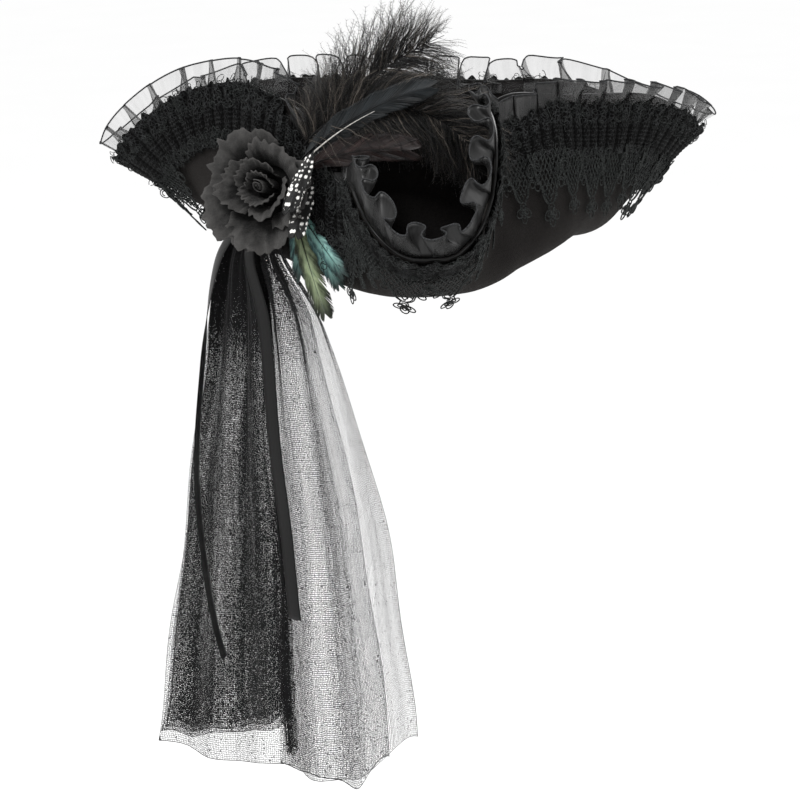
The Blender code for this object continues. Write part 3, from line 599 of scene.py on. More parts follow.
class Finish:
    """A material built from nodes, with its Principled shader."""

    def __init__(self, name, **sockets):
        self.material = bpy.data.materials.new(name)
        self.material.use_nodes = True
        self.tree = self.material.node_tree
        self.shader = self.tree.nodes["Principled BSDF"]
        for socket, value in sockets.items():
            self.shader.inputs[socket.replace("_", " ")].default_value = value

    def node(self, kind, settings=None, **inputs):
        """Add a node. Its inputs are values or other nodes' sockets, by name or by place."""
        node = self.tree.nodes.new(kind)
        for key, value in (settings or {}).items():
            setattr(node, key, value)
        for key, value in inputs.items():
            socket = node.inputs[int(key[1:])] if key[0] == "i" and key[1:].isdigit() \
                else node.inputs[key.replace("_", " ")]
            if isinstance(value, bpy.types.NodeSocket):
                self.tree.links.new(value, socket)
            else:
                socket.default_value = value
        return node

    def weigh(self, *terms):
        """Sum of values, each times its weight."""
        total = None
        for value, weight in terms:
            part = value if weight == 1.0 else self.math("MULTIPLY", value, weight)
            total = part if total is None else self.math("ADD", total, part)
        return total

    def axis(self, name, where):
        """One coordinate of a place."""
        return self.node("ShaderNodeSeparateXYZ", Vector=where).outputs[name]

    def value(self, name):
        """A value that the points hold."""
        return self.node("ShaderNodeAttribute", {"attribute_name": name}).outputs["Fac"]

    def math(self, operation, first, second=0.0):
        """Result of one sum."""
        return self.node("ShaderNodeMath", {"operation": operation}, i0=first, i1=second).outputs[0]

    def coordinates(self, kind="Object", scale=(1.0, 1.0, 1.0)):
        """Object or UV coordinates, scaled."""
        source = self.node("ShaderNodeTexCoord").outputs[kind]
        return self.node("ShaderNodeMapping", Vector=source, Scale=scale).outputs["Vector"]

    def noise(self, where, scale, detail=2.0, roughness=0.5):
        """Value of a noise."""
        return self.node("ShaderNodeTexNoise", Vector=where, Scale=scale, Detail=detail,
                         Roughness=roughness).outputs["Fac"]

    def ramp(self, value, stops):
        """Colours along a value."""
        node = self.node("ShaderNodeValToRGB", Fac=value)
        elements = node.color_ramp.elements
        while len(elements) < len(stops):
            elements.new(0.5)
        for element, (place, colour) in zip(elements, stops):
            element.position = place
            element.color = (*colour, 1.0) if len(colour) == 3 else colour
        return node.outputs["Color"]

    def colour(self, value, *stops):
        """Set the base colour along a value."""
        self.set("Base Color", self.ramp(value, stops))

    def spread(self, value, low, high, to_low, to_high):
        """Value moved from one range to another, and kept inside it."""
        return self.node("ShaderNodeMapRange", Value=value, From_Min=low, From_Max=high,
                         To_Min=to_low, To_Max=to_high).outputs["Result"]

    def bump(self, height, distance, strength=1.0):
        """Relief from a height."""
        bump = self.node("ShaderNodeBump", Height=height, Distance=distance, Strength=strength)
        self.tree.links.new(bump.outputs["Normal"], self.shader.inputs["Normal"])

    def set(self, socket, value):
        """Link a value to the shader."""
        self.tree.links.new(value, self.shader.inputs[socket])


def grey(value):
    """A neutral colour."""
    return (value, value, value)


def times(colour, factor):
    """A colour made darker or lighter."""
    return tuple(factor * part for part in colour)


@cache
def black_felt():
    made = Finish("black_felt", Roughness=0.95, Sheen_Weight=0.025, Sheen_Roughness=0.5,
                  Sheen_Tint=(0.85, 0.78, 0.72, 1.0), Specular_IOR_Level=0.06)
    where = made.coordinates()
    fibre = made.noise(where, 1300.0, 6.0, 0.75)
    cloud = made.noise(where, 40.0, 3.0, 0.6)
    base = tuple(bpy.context.scene.hat_felt.colour)
    made.colour(made.weigh((fibre, 0.75), (cloud, 0.25)), (0.32, times(base, 0.35)),
                (0.70, times(base, 2.2)))
    made.bump(made.weigh((fibre, 1.0), (cloud, 1.5)), 0.0007, 0.9)
    return made.material


@cache
def black_satin():
    made = Finish("black_satin", Roughness=0.36, Specular_IOR_Level=0.14, Sheen_Weight=0.02,
                  Anisotropic=0.5)
    weave = made.node("ShaderNodeTexWave", {"bands_direction": "Y"}, Vector=made.coordinates("UV"),
                      Scale=450.0, Distortion=1.0, Detail=2.0).outputs["Fac"]
    made.colour(weave, (0.0, grey(0.002)), (1.0, grey(0.008)))
    made.bump(weave, 0.0001, 0.6)
    return made.material


def thread_finish(name, low, high):
    """Matt black thread with the twist's fine fibres."""
    made = Finish(name, Roughness=0.8, Sheen_Weight=0.015, Sheen_Roughness=0.4,
                  Specular_IOR_Level=0.08)
    fibre = made.noise(made.coordinates(), 1500.0, 3.0)
    made.colour(fibre, (0.35, low), (0.65, high))
    made.bump(fibre, 0.0002, 0.7)
    return made.material


@cache
def black_lace():
    made = Finish("black_lace", Roughness=0.85, Sheen_Weight=0.012, Sheen_Roughness=0.35,
                  Specular_IOR_Level=0.06)
    where = made.coordinates()
    bent = made.node("ShaderNodeTexNoise", Vector=where, Scale=260.0, Detail=2.0).outputs["Color"]
    pushed = made.node("ShaderNodeVectorMath", {"operation": "MULTIPLY_ADD"}, i0=bent,
                       i1=(0.0035, 0.0035, 0.0035), i2=where).outputs["Vector"]
    cell = made.node("ShaderNodeTexVoronoi", {"feature": "DISTANCE_TO_EDGE"}, Vector=pushed,
                     Scale=430.0).outputs["Distance"]
    fibre = made.noise(where, 900.0, 4.0, 0.7)
    strand = made.spread(cell, 0.02, 0.18, 1.0, 0.0)
    mixed = made.math("MULTIPLY", strand, made.math("ADD", fibre, 0.30))
    # Painted shade: the colour is darkened in the band's gather lines and in the troughs between
    # its ribs.
    mixed = made.math("MULTIPLY", made.math("ADD", mixed, 0.12), made.value("relief"))
    made.colour(mixed, (0.26, grey(0.0004)), (0.95, (0.026, 0.0275, 0.028)))
    made.bump(mixed, 0.0009, 1.0)
    return made.material


@cache
def black_organza():
    made = Finish("black_organza", Roughness=0.42, Sheen_Weight=0.03, Sheen_Roughness=0.3,
                  Specular_IOR_Level=0.24)
    streaks = made.noise(made.coordinates("UV", (500.0, 12.0, 1.0)), 1.0, 2.0, 0.5)
    patches = made.noise(made.coordinates("UV", (120.0, 60.0, 1.0)), 1.0, 2.0)
    mixed = made.weigh((streaks, 0.55), (patches, 0.45))
    thin = made.spread(mixed, 0.3, 0.7, 0.06, 0.16)
    # The folded-back panels are more opaque: partly for the overlapped cloth, partly as painted
    # shade in the folds.
    phase = made.math("FRACT", made.axis("X", made.coordinates("UV", (20.0, 1.0, 1.0))))
    folded = made.math("GREATER_THAN", phase, 0.335)
    dense = made.value("dense")
    made.set("Alpha", made.weigh((thin, 1.0), (folded, 0.34), (dense, 0.78)))
    # The lighter streaks in the colour are painted sheen along the pleats. Where the frill is
    # dense, the colour is darker.
    tone = made.math("SUBTRACT", made.math("ADD", mixed, 0.45), made.math("MULTIPLY", dense, 0.68))
    made.colour(tone, (0.05, grey(0.004)), (0.45, grey(0.016)), (1.0, grey(0.055)))
    made.bump(streaks, 0.0001, 0.5)
    return made.material


@cache
def charcoal_velvet():
    made = Finish("charcoal_velvet", Roughness=0.97, Sheen_Weight=0.075, Sheen_Roughness=0.5,
                  Sheen_Tint=(0.85, 0.83, 0.81, 1.0), Specular_IOR_Level=0.05)
    where = made.coordinates()
    flock = made.noise(where, 1500.0, 5.0, 0.75)
    cloud = made.noise(where, 110.0, 4.0, 0.65)
    height = made.axis("Y", made.coordinates("UV"))
    # Lighter towards the petals' top edges and darker towards their feet: lighter frayed edges,
    # with a painted highlight on the lit rims and painted shade deep among the petals.
    rim = made.spread(made.weigh((height, 1.0), (cloud, 0.30)), 0.55, 1.22, 0.0, 0.60)
    made.colour(made.weigh((flock, 0.30), (rim, 1.0), (cloud, 0.30)), (0.15, grey(0.002)),
                (0.50, grey(0.010)), (1.00, (0.070, 0.068, 0.066)))
    made.bump(made.weigh((flock, 1.0), (cloud, 3.0)), 0.0007, 1.0)
    return made.material


def feather_finish(name, dark, light, roughness, start=0.25):
    """Barbs whose colour changes a little from one to the next."""
    made = Finish(name, Roughness=roughness, Sheen_Weight=0.06, Sheen_Roughness=0.35,
                  Specular_IOR_Level=0.22)
    fine = made.noise(made.coordinates(), 500.0, 3.0)
    made.colour(made.weigh((made.value("shade"), 0.7), (fine, 0.4)), (start, dark), (0.95, light))
    return made.material


@cache
def white_quill():
    made = Finish("white_quill", Roughness=0.4)
    made.colour(made.noise(made.coordinates(), 900.0, 3.0), (0.3, (0.26, 0.25, 0.23)),
                (0.7, (0.56, 0.54, 0.51)))
    return made.material


def guinea_finish(name):
    """Dark barbs with rows of white dots."""
    made = Finish(name, Roughness=0.5, Sheen_Weight=0.05, Specular_IOR_Level=0.2)
    spots = made.node("ShaderNodeTexVoronoi", {"feature": "F1"},
                      Vector=made.coordinates("UV", (330.0, 11.5, 1.0)), Scale=1.0,
                      Randomness=0.42).outputs["Distance"]
    edge = made.weigh((spots, 1.0), (made.value("shade"), 0.08))
    made.colour(edge, (0.35, (0.80, 0.79, 0.76)), (0.41, grey(0.004)))
    return made.material


def coque_finish(name, middle, side, glow):
    """Glossy barbs that turn from one colour to another across the feather, with a dark tip."""
    made = Finish(name, Roughness=0.36, Metallic=0.15, Sheen_Weight=0.03, Specular_IOR_Level=0.3)
    where = made.coordinates("UV")
    cloud = made.noise(made.coordinates("UV", (260.0, 9.0, 1.0)), 1.0, 3.0)
    across = made.spread(made.math("ABSOLUTE", made.axis("X", where)), 0.0, 0.006, 0.0, 0.5)
    hue = made.weigh((across, 1.0), (cloud, 0.55), (made.value("shade"), 0.35))
    colour = made.ramp(hue, [(0.25, middle), (0.55, glow), (0.80, side), (1.00, times(side, 0.3))])
    tip = made.spread(made.axis("Y", where), 0.72, 1.00, 1.0, 0.10)
    dark = made.node("ShaderNodeMix", {"data_type": "RGBA", "blend_type": "MULTIPLY"}, i0=1.0,
                     i6=colour, i7=tip)
    made.set("Base Color", dark.outputs[2])
    return made.material


def tulle(name, pitch, thread, colour, ragged):
    """Fine hexagon net. Between the threads it is clear, and it crowds where it is gathered."""
    made = Finish(name, Roughness=0.8, Sheen_Weight=0.05, Specular_IOR_Level=0.1)
    where = made.coordinates("UV")
    cell = made.node("ShaderNodeTexVoronoi", {"feature": "DISTANCE_TO_EDGE"}, Vector=where,
                     Scale=1.0 / pitch, Randomness=0.45).outputs["Distance"]
    grain = made.noise(where, 1300.0, 2.0, 0.6)
    folds = made.noise(made.coordinates("UV", (52.0, 2.6, 1.0)), 1.0, 2.0, 0.55)
    share = thread / pitch
    wide = made.spread(grain, 0.35, 0.65, share * (1.0 - ragged), share * (1.0 + ragged))
    creased = made.spread(folds, 0.34, 0.66, 1.0 - 0.55 * ragged, 1.0 + 0.75 * ragged)
    crowd = made.spread(made.axis("Y", where), 0.02, 0.12, 3.2, 1.0)
    wide = made.math("MULTIPLY", made.math("MULTIPLY", wide, creased), crowd)
    hem = made.math("GREATER_THAN", made.value("hem"), 0.88)
    made.set("Alpha", made.math("MAXIMUM", made.math("LESS_THAN", cell, wide), hem))
    fibre = made.noise(made.coordinates(), 800.0, 2.0)
    made.colour(fibre, (0.3, times(colour, 0.4)), (0.7, colour))
    return made.material


FINISHES = {
    "edge_thread": (thread_finish, grey(0.006), (0.040, 0.041, 0.043)),
    "lace_thread": (thread_finish, (0.0006, 0.0007, 0.0007), (0.034, 0.037, 0.036)),
    "ostrich_black": (feather_finish, (0.0008, 0.0007, 0.0006), (0.130, 0.112, 0.095), 0.5, 0.36),
    "goose_blue_black": (feather_finish, (0.0012, 0.0016, 0.0020), (0.0085, 0.0115, 0.0135), 0.4),
    "goose_plum_black": (feather_finish, (0.0026, 0.0016, 0.0016), (0.020, 0.011, 0.010), 0.38),
    "guinea_spotted": (guinea_finish,),
    "coque_teal": (coque_finish, (0.045, 0.135, 0.130), (0.020, 0.060, 0.062), (0.13, 0.25, 0.225)),
    "coque_olive": (coque_finish, (0.080, 0.110, 0.065), (0.040, 0.052, 0.026),
                    (0.18, 0.22, 0.125)),
    "dark_tulle": (tulle, 0.00115, 0.00012, (0.010, 0.010, 0.0105), 0.8),
    "pale_tulle": (tulle, 0.00125, 0.00009, (0.020, 0.020, 0.021), 0.5),
}


@cache
def finish_of(name):
    """One of the finishes that share a way of making."""
    maker, *values = FINISHES[name]
    return maker(name, *values)


@cache
def pale_floor():
    made = Finish("pale_floor", Roughness=0.95, Specular_IOR_Level=0.0)
    made.colour(made.noise(made.coordinates(), 3.0, 2.0), (0.0, grey(0.93)), (1.0, grey(0.95)))
    return made.material


def lace_lift(around, past):
    """Lift of the lace's back off the felt's middle. It rises over the patch of the corsage."""
    angle = BRIM.angle(around)
    over = smooth((angle + 68.0) / 5.0) * smooth((-23.0 - angle) / 5.0)
    down = -np.asarray(past)
    over = over * smooth((down - 0.001) / 0.006) * smooth((0.080 - down) / 0.008)
    return FELT / 2 + LACE_GAP + over * PATCH_RISE


def blade(bend, steps=6):
    """A flat barb of unit length along X: its tip bends to the side by a share of its length."""
    points, faces = [], []
    for share in (step / steps for step in range(steps + 1)):
        across = bend * share ** 2
        half = 0.5 * (1.0 - 0.75 * share ** 3)
        points += [(share, across - half, 0.0), (share, across, -0.5),
                   (share, across + half, 0.0), (share, across, 0.5)]
    for low in range(0, 4 * steps, 4):
        for corner in range(4):
            after = (corner + 1) % 4
            faces.append((low + corner, low + 4 + corner, low + 4 + after, low + after))
    faces.append((0, 1, 2, 3))
    faces.append(tuple(4 * steps + corner for corner in (3, 2, 1, 0)))
    return points, faces


def feather_length(row):
    """Length of a feather along its shaft."""
    return row.length * (PLUME_LENGTH if row.plume else FEATHER_LENGTH)


def feather_spine(row, steps=80):
    """Shaft of a feather and the direction along it."""
    lift = PATCH_FACE + SEWN_GAP + FEATHER_WALL / 2 + row.layer * FEATHER_LAYER
    foot = BRIM.point(BRIM.around(row.angle), -row.down * BRIM_DEPTH, lift)
    share = share_of(steps + 1)
    heading = np.radians(row.heading + (row.tip_heading - row.heading) * share)
    lean = np.radians(row.lean + (row.tip_lean - row.lean) * share)
    ahead = side_by_side(np.cos(heading) * np.cos(lean), -np.sin(lean),
                         np.sin(heading) * np.cos(lean))
    way = np.concatenate(([[0.0] * 3], np.cumsum(ahead[:-1], axis=0)))
    return foot + way * feather_length(row) / steps, ahead


def along_spine(values, share):
    """Values between the points of a shaft."""
    steps = share_of(len(values))
    return np.stack([np.interp(share, steps, values[:, axis]) for axis in range(3)], axis=-1)


def vane_map(mesh, spine, ahead):
    """UV map of a feather: metres across the shaft and the share along it."""
    points = points_of(mesh)
    nearest = np.argmin(np.linalg.norm(points[:, None] - spine[None, ::4], axis=2), axis=1) * 4
    side = unit(np.cross(ahead[nearest], FEATHER_FACING))
    offset = points - spine[nearest]
    across = np.sum(offset * side, axis=1)
    along = nearest / (len(spine) - 1) + np.sum(offset * ahead[nearest], axis=1) / FEATHER_LENGTH
    set_uv(mesh, side_by_side(across, along))


def tapered(radius, loss, count):
    """Radii of a shaft that thins towards its tip."""
    return radius * (1.0 - loss * share_of(count))


def make_vane(row, vane, seed):
    """A flat feather: barbs that lie side by side along a shaft, with splits at the edge."""
    spine, ahead = feather_spine(row)
    length = feather_length(row)
    rng = np.random.default_rng(seed)
    count = int(0.96 * length / vane.pitch)
    shares = 0.04 + 0.95 * share_of(count)
    full = row.width * FEATHER_WIDTH / 2
    outline = np.minimum((shares / 0.22) ** 0.7, 1.0) * np.minimum(
        (np.maximum(1.03 - shares, 0.0) / 0.30) ** 0.55, 1.0)
    roots = along_spine(spine, shares)
    forward = unit(along_spine(ahead, shares))
    meshes = []
    for side in (-1.0, 1.0):
        piece = new_object("barb", *blade(side * 0.12))
        across = unit(np.cross(forward, FEATHER_FACING)) * side
        clump = wander(shares, seed + int(side), (3, 5, 8))
        split = np.round(1.5 * wander(shares, seed + 3 * int(side), (4, 7))) / 1.5
        angle = vane.sweep + vane.ragged * (2.5 * clump + 3.5 * split) - 10.0 * shares
        angle = np.radians(np.clip(angle + rng.normal(0.0, 0.6, count), 17.0, 60.0))
        reach = np.minimum(full * outline / np.sin(angle), 0.35 * length)
        reach = reach * (1.0 + 0.06 * vane.ragged * (clump + rng.uniform(-0.6, 0.6, count)))
        direction = forward * np.cos(angle)[:, None] + across * np.sin(angle)[:, None]
        direction -= FEATHER_FACING * (0.12 + 0.04 * vane.ragged * split)[:, None]
        size = side_by_side(reach, vane.pitch * BARB_WIDTH, BARB_WALL)
        shade = 0.5 + 0.18 * clump + 0.22 * split + rng.uniform(-0.12, 0.12, count)
        meshes.append(set_on_points(piece, roots, direction, FEATHER_FACING + across * 0.1, size,
                                    shade, finish_of(vane.finish)))
        remove_pieces([piece])
    thing = join_meshes(row.name + "_vane", meshes, finish_of(vane.finish))
    vane_map(thing.data, spine, ahead)
    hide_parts(row.name)
    quill = threads(row.name + "_shaft", [spine], tapered(vane.shaft, 0.8, len(spine)),
                    finish_of(vane.shaft_finish), 6)


def plume_barb(seed, droop):
    """One long ostrich barb of unit length along X, with short hairs on both sides."""
    rng = np.random.default_rng(seed)
    share = share_of(13)
    line = side_by_side(
        share * (1.0 - 0.30 * droop * share ** 2),
        0.05 * wander(share, seed, (1, 2)) * share,
        -droop * share ** 2.4 + 0.03 * wander(share, seed + 9, (1, 3)) * share)
    points, faces = tubes([line], 0.0062 * (1.0 - 0.7 * share), 3)
    points, faces = [tuple(point) for point in points], list(faces)
    for place in np.linspace(0.10, 0.99, 20):
        root = along_spine(line, place)
        for side in (-1.0, 1.0):
            turn = rng.uniform(-0.9, 0.9)
            hair = np.array([0.75, side * math.cos(turn), math.sin(turn)])
            hair = hair * rng.uniform(0.030, 0.055)
            start = len(points)
            points += [tuple(root + (PLUME_HAIR, 0, 0)), tuple(root - (PLUME_HAIR, 0, 0)),
                       tuple(root + (0, 0, PLUME_HAIR)), tuple(root + hair)]
            faces += [(start, start + 1, start + 2), (start, start + 3, start + 1),
                      (start + 1, start + 3, start + 2), (start + 2, start + 3, start)]
    return points, faces


# How full each plume is: its share of the shaft used, and the lengths and angles of its barbs.
Plume = namedtuple("Plume", "start end reach foot_angle tip_angle tip_reach droop")
PLUMES = {
    "plume_tall": Plume(0.06, 0.90, 1.45, 58, 30, 0.62, 0.35),
    "plume_sweeping": Plume(0.04, 1.00, 1.55, 52, 34, 0.85, 0.75),
}


def make_plume(row, seed):
    """A curled ostrich plume: long soft barbs that stand off the shaft and droop."""
    finish = finish_of("ostrich_black")
    settings = bpy.context.scene.hat_feathers
    spine, ahead = feather_spine(row)
    plume = PLUMES[row.name]
    rng = np.random.default_rng(seed)
    pieces = [new_object(f"plume_barb_{n}", *plume_barb(seed * 10 + n, droop))
              for n, droop in enumerate((0.12, 0.28, 0.45, 0.62))]
    full = row.width * PLUME_WIDTH / 2 * plume.reach
    shafts = threads(row.name + "_shaft", [spine], tapered(PLUME_SHAFT, 0.8, len(spine)), finish, 6)
    for side, label in ((-1.0, "_upper"), (1.0, "_lower")):
        meshes = []
        for piece in pieces:
            many = settings.plume_barbs // len(pieces)
            shares = np.sort(rng.uniform(plume.start, plume.end, many))
            along = (shares - plume.start) / (plume.end - plume.start)
            roots = along_spine(spine, shares)
            forward = unit(along_spine(ahead, shares))
            across = unit(np.cross(forward, FEATHER_FACING)) * side
            half = full * (0.70 + 0.30 * np.sin(math.pi * along)) * (
                1.0 + (plume.tip_reach - 1.0) * along ** 3)
            clump = wander(along, seed + int(side), (5, 9, 14))
            angle = np.radians(rng.normal(0.0, 8.0, many) + 7.0 * clump
                               + plume.foot_angle + (plume.tip_angle - plume.foot_angle) * along)
            reach = half / np.maximum(np.sin(angle), 0.6) * rng.uniform(0.65, 1.1, many)
            outwards = rng.normal(0.10, 0.25, many)[:, None]
            direction = (forward * np.cos(angle)[:, None] + across * np.sin(angle)[:, None]
                         + FEATHER_FACING * outwards)
            out = unit(UP * plume.droop - across * 0.25 + FEATHER_FACING * 0.6
                       + rng.normal(0.0, 0.22, (many, 3)))
            size = np.repeat(reach[:, None], 3, axis=1)
            shade = np.clip(0.45 + 0.30 * clump + rng.uniform(-0.5, 0.5, many), 0.0, 1.0) ** 3.2
            meshes.append(set_on_points(piece, roots, direction, out, size, shade, finish))
        thing = join_meshes(row.name + label, meshes, finish)
        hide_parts(row.name)
    remove_pieces(pieces)


def rose_frame():
    """Foot of the rose on the patch, its axis, and two directions across it."""
    around = BRIM.around(ROSE_ANGLE)
    past = -ROSE_DOWN * BRIM_DEPTH
    out = BRIM.outward(around, past)
    turn = math.radians(ROSE_TURN)
    axis = unit(np.array([out[0] * math.cos(turn) - out[1] * math.sin(turn),
                          out[0] * math.sin(turn) + out[1] * math.cos(turn), out[2] + ROSE_TILT]))
    side = unit(np.cross(UP, axis))
    return BRIM.point(around, past, PATCH_FACE), axis, side, np.cross(axis, side)


def veil_width(share, across):
    """Width of the hanging veil as a share of its spread. Its inner side opens sooner."""
    gather = VEIL_GATHER / VEIL_SPREAD
    opened = np.where(across > VEIL_MIDDLE, 1.0 - (1.0 - share) ** 2.0,
                      np.maximum(share, 0.0) ** 0.62)
    return gather + (1.0 - gather) * opened


def veil_directions(down):
    """Directions across the veil and out of it. It turns off the flap as it falls clear."""
    out = BRIM.outward(BRIM.around(VEIL_ANGLE), -VEIL_DOWN * BRIM_DEPTH)
    gathered = math.degrees(math.atan2(out[0], -out[1]))
    heading = np.radians(gathered + (VEIL_HEADING - gathered) * smooth((down - 0.010) / 0.060))
    return (side_by_side(np.cos(heading), np.sin(heading), 0.0),
            side_by_side(np.sin(heading), -np.cos(heading), 0.0))


def veil_point(across, down, stand):
    """Points of the veil at a share across it, a length down and a distance out of its back."""
    foot = BRIM.point(BRIM.around(VEIL_ANGLE), -VEIL_DOWN * BRIM_DEPTH,
                      PATCH_FACE + SEWN_GAP + 0.0005)
    side, out = veil_directions(down)
    share = down / VEIL_LENGTH
    reach = (across - VEIL_MIDDLE) * VEIL_SPREAD * veil_width(share, across)
    reach = reach * (1.0 + 0.18 * share ** 2 * (across < VEIL_MIDDLE))
    clear = stand + VEIL_CLEAR * smooth(share * 10.0)
    return foot + side * reach[..., None] + out * clear[..., None] - UP * down[..., None]


class FeltSettings(PropertyGroup):
    """Felt body."""

    colour: FloatVectorProperty(name="Felt colour", description="Colour of the felt", size=3,
                                default=(0.0058, 0.0052, 0.0050), subtype="COLOR")
    columns: IntProperty(name="Columns", description="Columns of faces round the brim", default=480)


class FrillSettings(PropertyGroup):
    """Organza frill."""

    pleats: IntProperty(name="Pleats", description="Box pleats round the whole edge", default=52)
    stand: FloatProperty(name="Stand", description="How far it stands beyond the felt",
                         default=0.0158, unit="LENGTH")
    seam: FloatProperty(name="Seam", description="How far it laps the felt", default=0.008,
                        unit="LENGTH")
    thread: FloatProperty(name="Edge thread", description="Radius of the thread on its free edge",
                          default=0.00052, unit="LENGTH")


class LaceSettings(PropertyGroup):
    """Venetian lace."""

    height: FloatProperty(name="Height", description="From the felt edge to the band's lower edge",
                          default=0.038, unit="LENGTH")
    gather: FloatProperty(name="Gather", description="Between two gather lines", default=0.0124,
                          unit="LENGTH")
    motifs: IntProperty(name="Motifs", description="Net motifs with drops round the edge",
                        default=42)
    loops: IntProperty(name="Loops", description="Thread loops scattered on the lace", default=2100)


class FeatherSettings(PropertyGroup):
    """Feathers."""

    plume_barbs: IntProperty(name="Plume barbs", description="Barbs on each ostrich plume",
                             default=560)


class VeilSettings(PropertyGroup):
    """Tulle veil."""

    layers: IntProperty(name="Layers", description="Folded layers of the dark front part",
                        default=3)


class StageSettings(PropertyGroup):
    """Floor, light and camera."""

    floor_height: FloatProperty(name="Floor", description="Height of the floor", default=-1.25,
                                unit="LENGTH")
    distance: FloatProperty(name="Camera distance", description="From the camera to the hat",
                            default=1.9, unit="LENGTH")
    frame_width: FloatProperty(name="Frame", description="Width that the camera takes in",
                               default=0.520, unit="LENGTH")


class HAT_OT_felt(Operator):
    """Felt crown, brim and bound edge"""

    bl_idname = "hat.felt"
    bl_label = "Felt body"

    BRIM_ROWS, CROWN_COLUMNS, CROWN_ROWS = 34, 144, 41
    BINDING, WAVE = 0.0009, 0.0003      # radius of the bound edge, and height of the felt's waves

    def brim(self, around, felt):
        """The brim, from the head opening to its edge."""
        rows = share_of(self.BRIM_ROWS)
        depth = np.interp(around, share_of(BRIM.COLUMNS + 1), BRIM.depth)
        past = -(depth[:, None] + FELT / 2) * (1.0 - rows[None, :])
        wave = self.WAVE * wander(around, 3, (7, 11, 17), closed=True)[:, None]
        wave = wave * smooth(rows * 2.0 - 0.4)[None, :]
        grid = BRIM.point(around[:, None], past, wave)
        brim = cloth("felt_brim", grid, felt, FELT, (1.2, BRIM_DEPTH), closed=True)
        brim.modifiers["wall"].use_even_offset = True
        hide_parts("brim")
        return brim

    def crown(self, felt):
        """The crown, closed at its top and open below."""
        shares = np.linspace(0.0, len(CROWN_RINGS) - 1.0, self.CROWN_ROWS + 1)[:-1]
        profile = []
        for values in np.transpose(CROWN_RINGS):
            values = np.interp(shares, np.arange(len(CROWN_RINGS)), values)
            for _ in range(3):
                values[1:-1] = (values[:-2] + 2 * values[1:-1] + values[2:]) / 4
            profile.append(values)
        radius, height = profile
        columns = []
        for angle in 360.0 * share_of(self.CROWN_COLUMNS, closed=True) - 180.0:
            turn = math.radians(angle)
            foot = row_at(SECTIONS, angle).root * BRIM_SWEEP + FELT / 2 + SEWN_GAP
            reach = head_radius(angle) * radius
            columns.append(side_by_side(math.sin(turn) * reach, -math.cos(turn) * reach,
                                        foot + (CROWN_HEIGHT - foot) * height))
        faces = grid_faces(self.CROWN_COLUMNS, self.CROWN_ROWS, closed=True).tolist()
        faces.append([(column + 1) * self.CROWN_ROWS - 1 for column in range(self.CROWN_COLUMNS)])
        crown = add_mesh("felt_crown", np.concatenate(columns), faces, felt)
        thicken(crown, FELT)
        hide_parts("crown")
        return crown

    def execute(self, context):
        felt = black_felt()
        around = share_of(context.scene.hat_felt.columns, closed=True)
        brim, crown = self.brim(around, felt), self.crown(felt)
        line = BRIM.point(around, 0.0003, 0.0)
        binding = threads("edge_binding", [np.concatenate([line, line[:1]])], self.BINDING,
                          black_satin(), 8)
        return {"FINISHED"}


class HAT_OT_frill(Operator):
    """Organza frill in box pleats with a thread along its free edge"""

    bl_idname = "hat.frill"
    bl_label = "Organza frill"

    SAMPLES, ROWS = 34, 10      # points across one pleat and up the frill
    SEAM_DEPTH = 0.0011         # depth of the pleats where they are sewn down
    GAP, OUTER_GAP = 0.0005, 0.0011     # off the felt inside it, and outside it near the spout

    def execute(self, context):
        settings = context.scene.hat_frill
        folds = np.array(BOX_PLEAT)
        samples, rows = self.SAMPLES, share_of(self.ROWS)
        phase = share_of(samples, closed=True)
        knots = np.append(share_of(len(folds), closed=True), 1.0)
        wrapped = np.vstack([folds, folds[0] + [1.0, 1.0, 0.0]])
        run, free_run, height = (np.interp(phase, knots, wrapped[:, axis])[:, None]
                                 for axis in range(3))
        past = -settings.seam + (settings.seam + settings.stand) * rows
        free = smooth((past + 0.002) / (settings.stand + 0.002))[None, :]
        panel = np.sin(math.pi * np.clip((phase[:, None] + 0.04) / 0.42, 0.0, 1.0)) ** 0.75
        grid = np.zeros((settings.pleats * samples, len(rows), 3))
        curl_run, curl_height = (values[:, None] for values in curl_profile(phase))
        dense = []
        rng = np.random.default_rng(5)
        for pleat in range(settings.pleats):
            middle = row_at(FRILL, float(BRIM.angle((pleat + 0.4) / settings.pleats)))
            loose = rng.uniform(0.7, 1.3)
            slip = rng.uniform(-0.06, 0.06)
            curl_power, turned = rng.uniform(0.55, 1.5), rng.uniform(-0.35, 0.35)
            place = BRIM.angle((pleat + phase) / settings.pleats)[:, None]
            curled, drop = spout_share(place), seam_drop(place)
            outside = smooth(drop / 0.004)
            run_here = free_run + (curl_run - free_run) * curled
            height_here = height + (curl_height ** curl_power - height) * curled
            tilt = curled * free * (turned * np.sin(2.0 * math.pi * phase[:, None] + turned) + 0.15)
            around = pleat + run + (run_here - run + slip) * free
            depth = self.SEAM_DEPTH * (1.0 - free) + middle.depth * loose * free
            lift = (-(FELT / 2 + self.GAP) - depth * (1.0 - height_here)
                    + panel * middle.bulge * loose * free)
            lift = lift + outside * (FELT + self.OUTER_GAP + depth)
            thick = np.maximum(curled, outside * (1.0 - 0.72 * smooth((place - 34.0) / 26.0)))
            dense.append(np.repeat(thick, len(rows), axis=1))
            lean = np.radians(middle.lean + rng.uniform(-4.0, 4.0)
                              - middle.flare * loose * panel * free) + tilt
            tall = past * (1.0 + rng.uniform(-0.07, 0.06) * (past > 0.0))
            grid[pleat * samples:(pleat + 1) * samples] = BRIM.point(
                around / settings.pleats, tall[None, :] - drop, lift, lean)
        frill = cloth("organza_frill", grid, black_organza(), FRILL_WALL, (2.6, FRILL_CUT),
                      closed=True)
        set_values(frill.data, "dense", np.concatenate(dense))
        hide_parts("organza_ruffle")
        edge = np.concatenate([grid[:, -1], grid[:1, -1]])
        thread = threads("frill_edge_thread", [edge], settings.thread, finish_of("edge_thread"), 5)
        return {"FINISHED"}


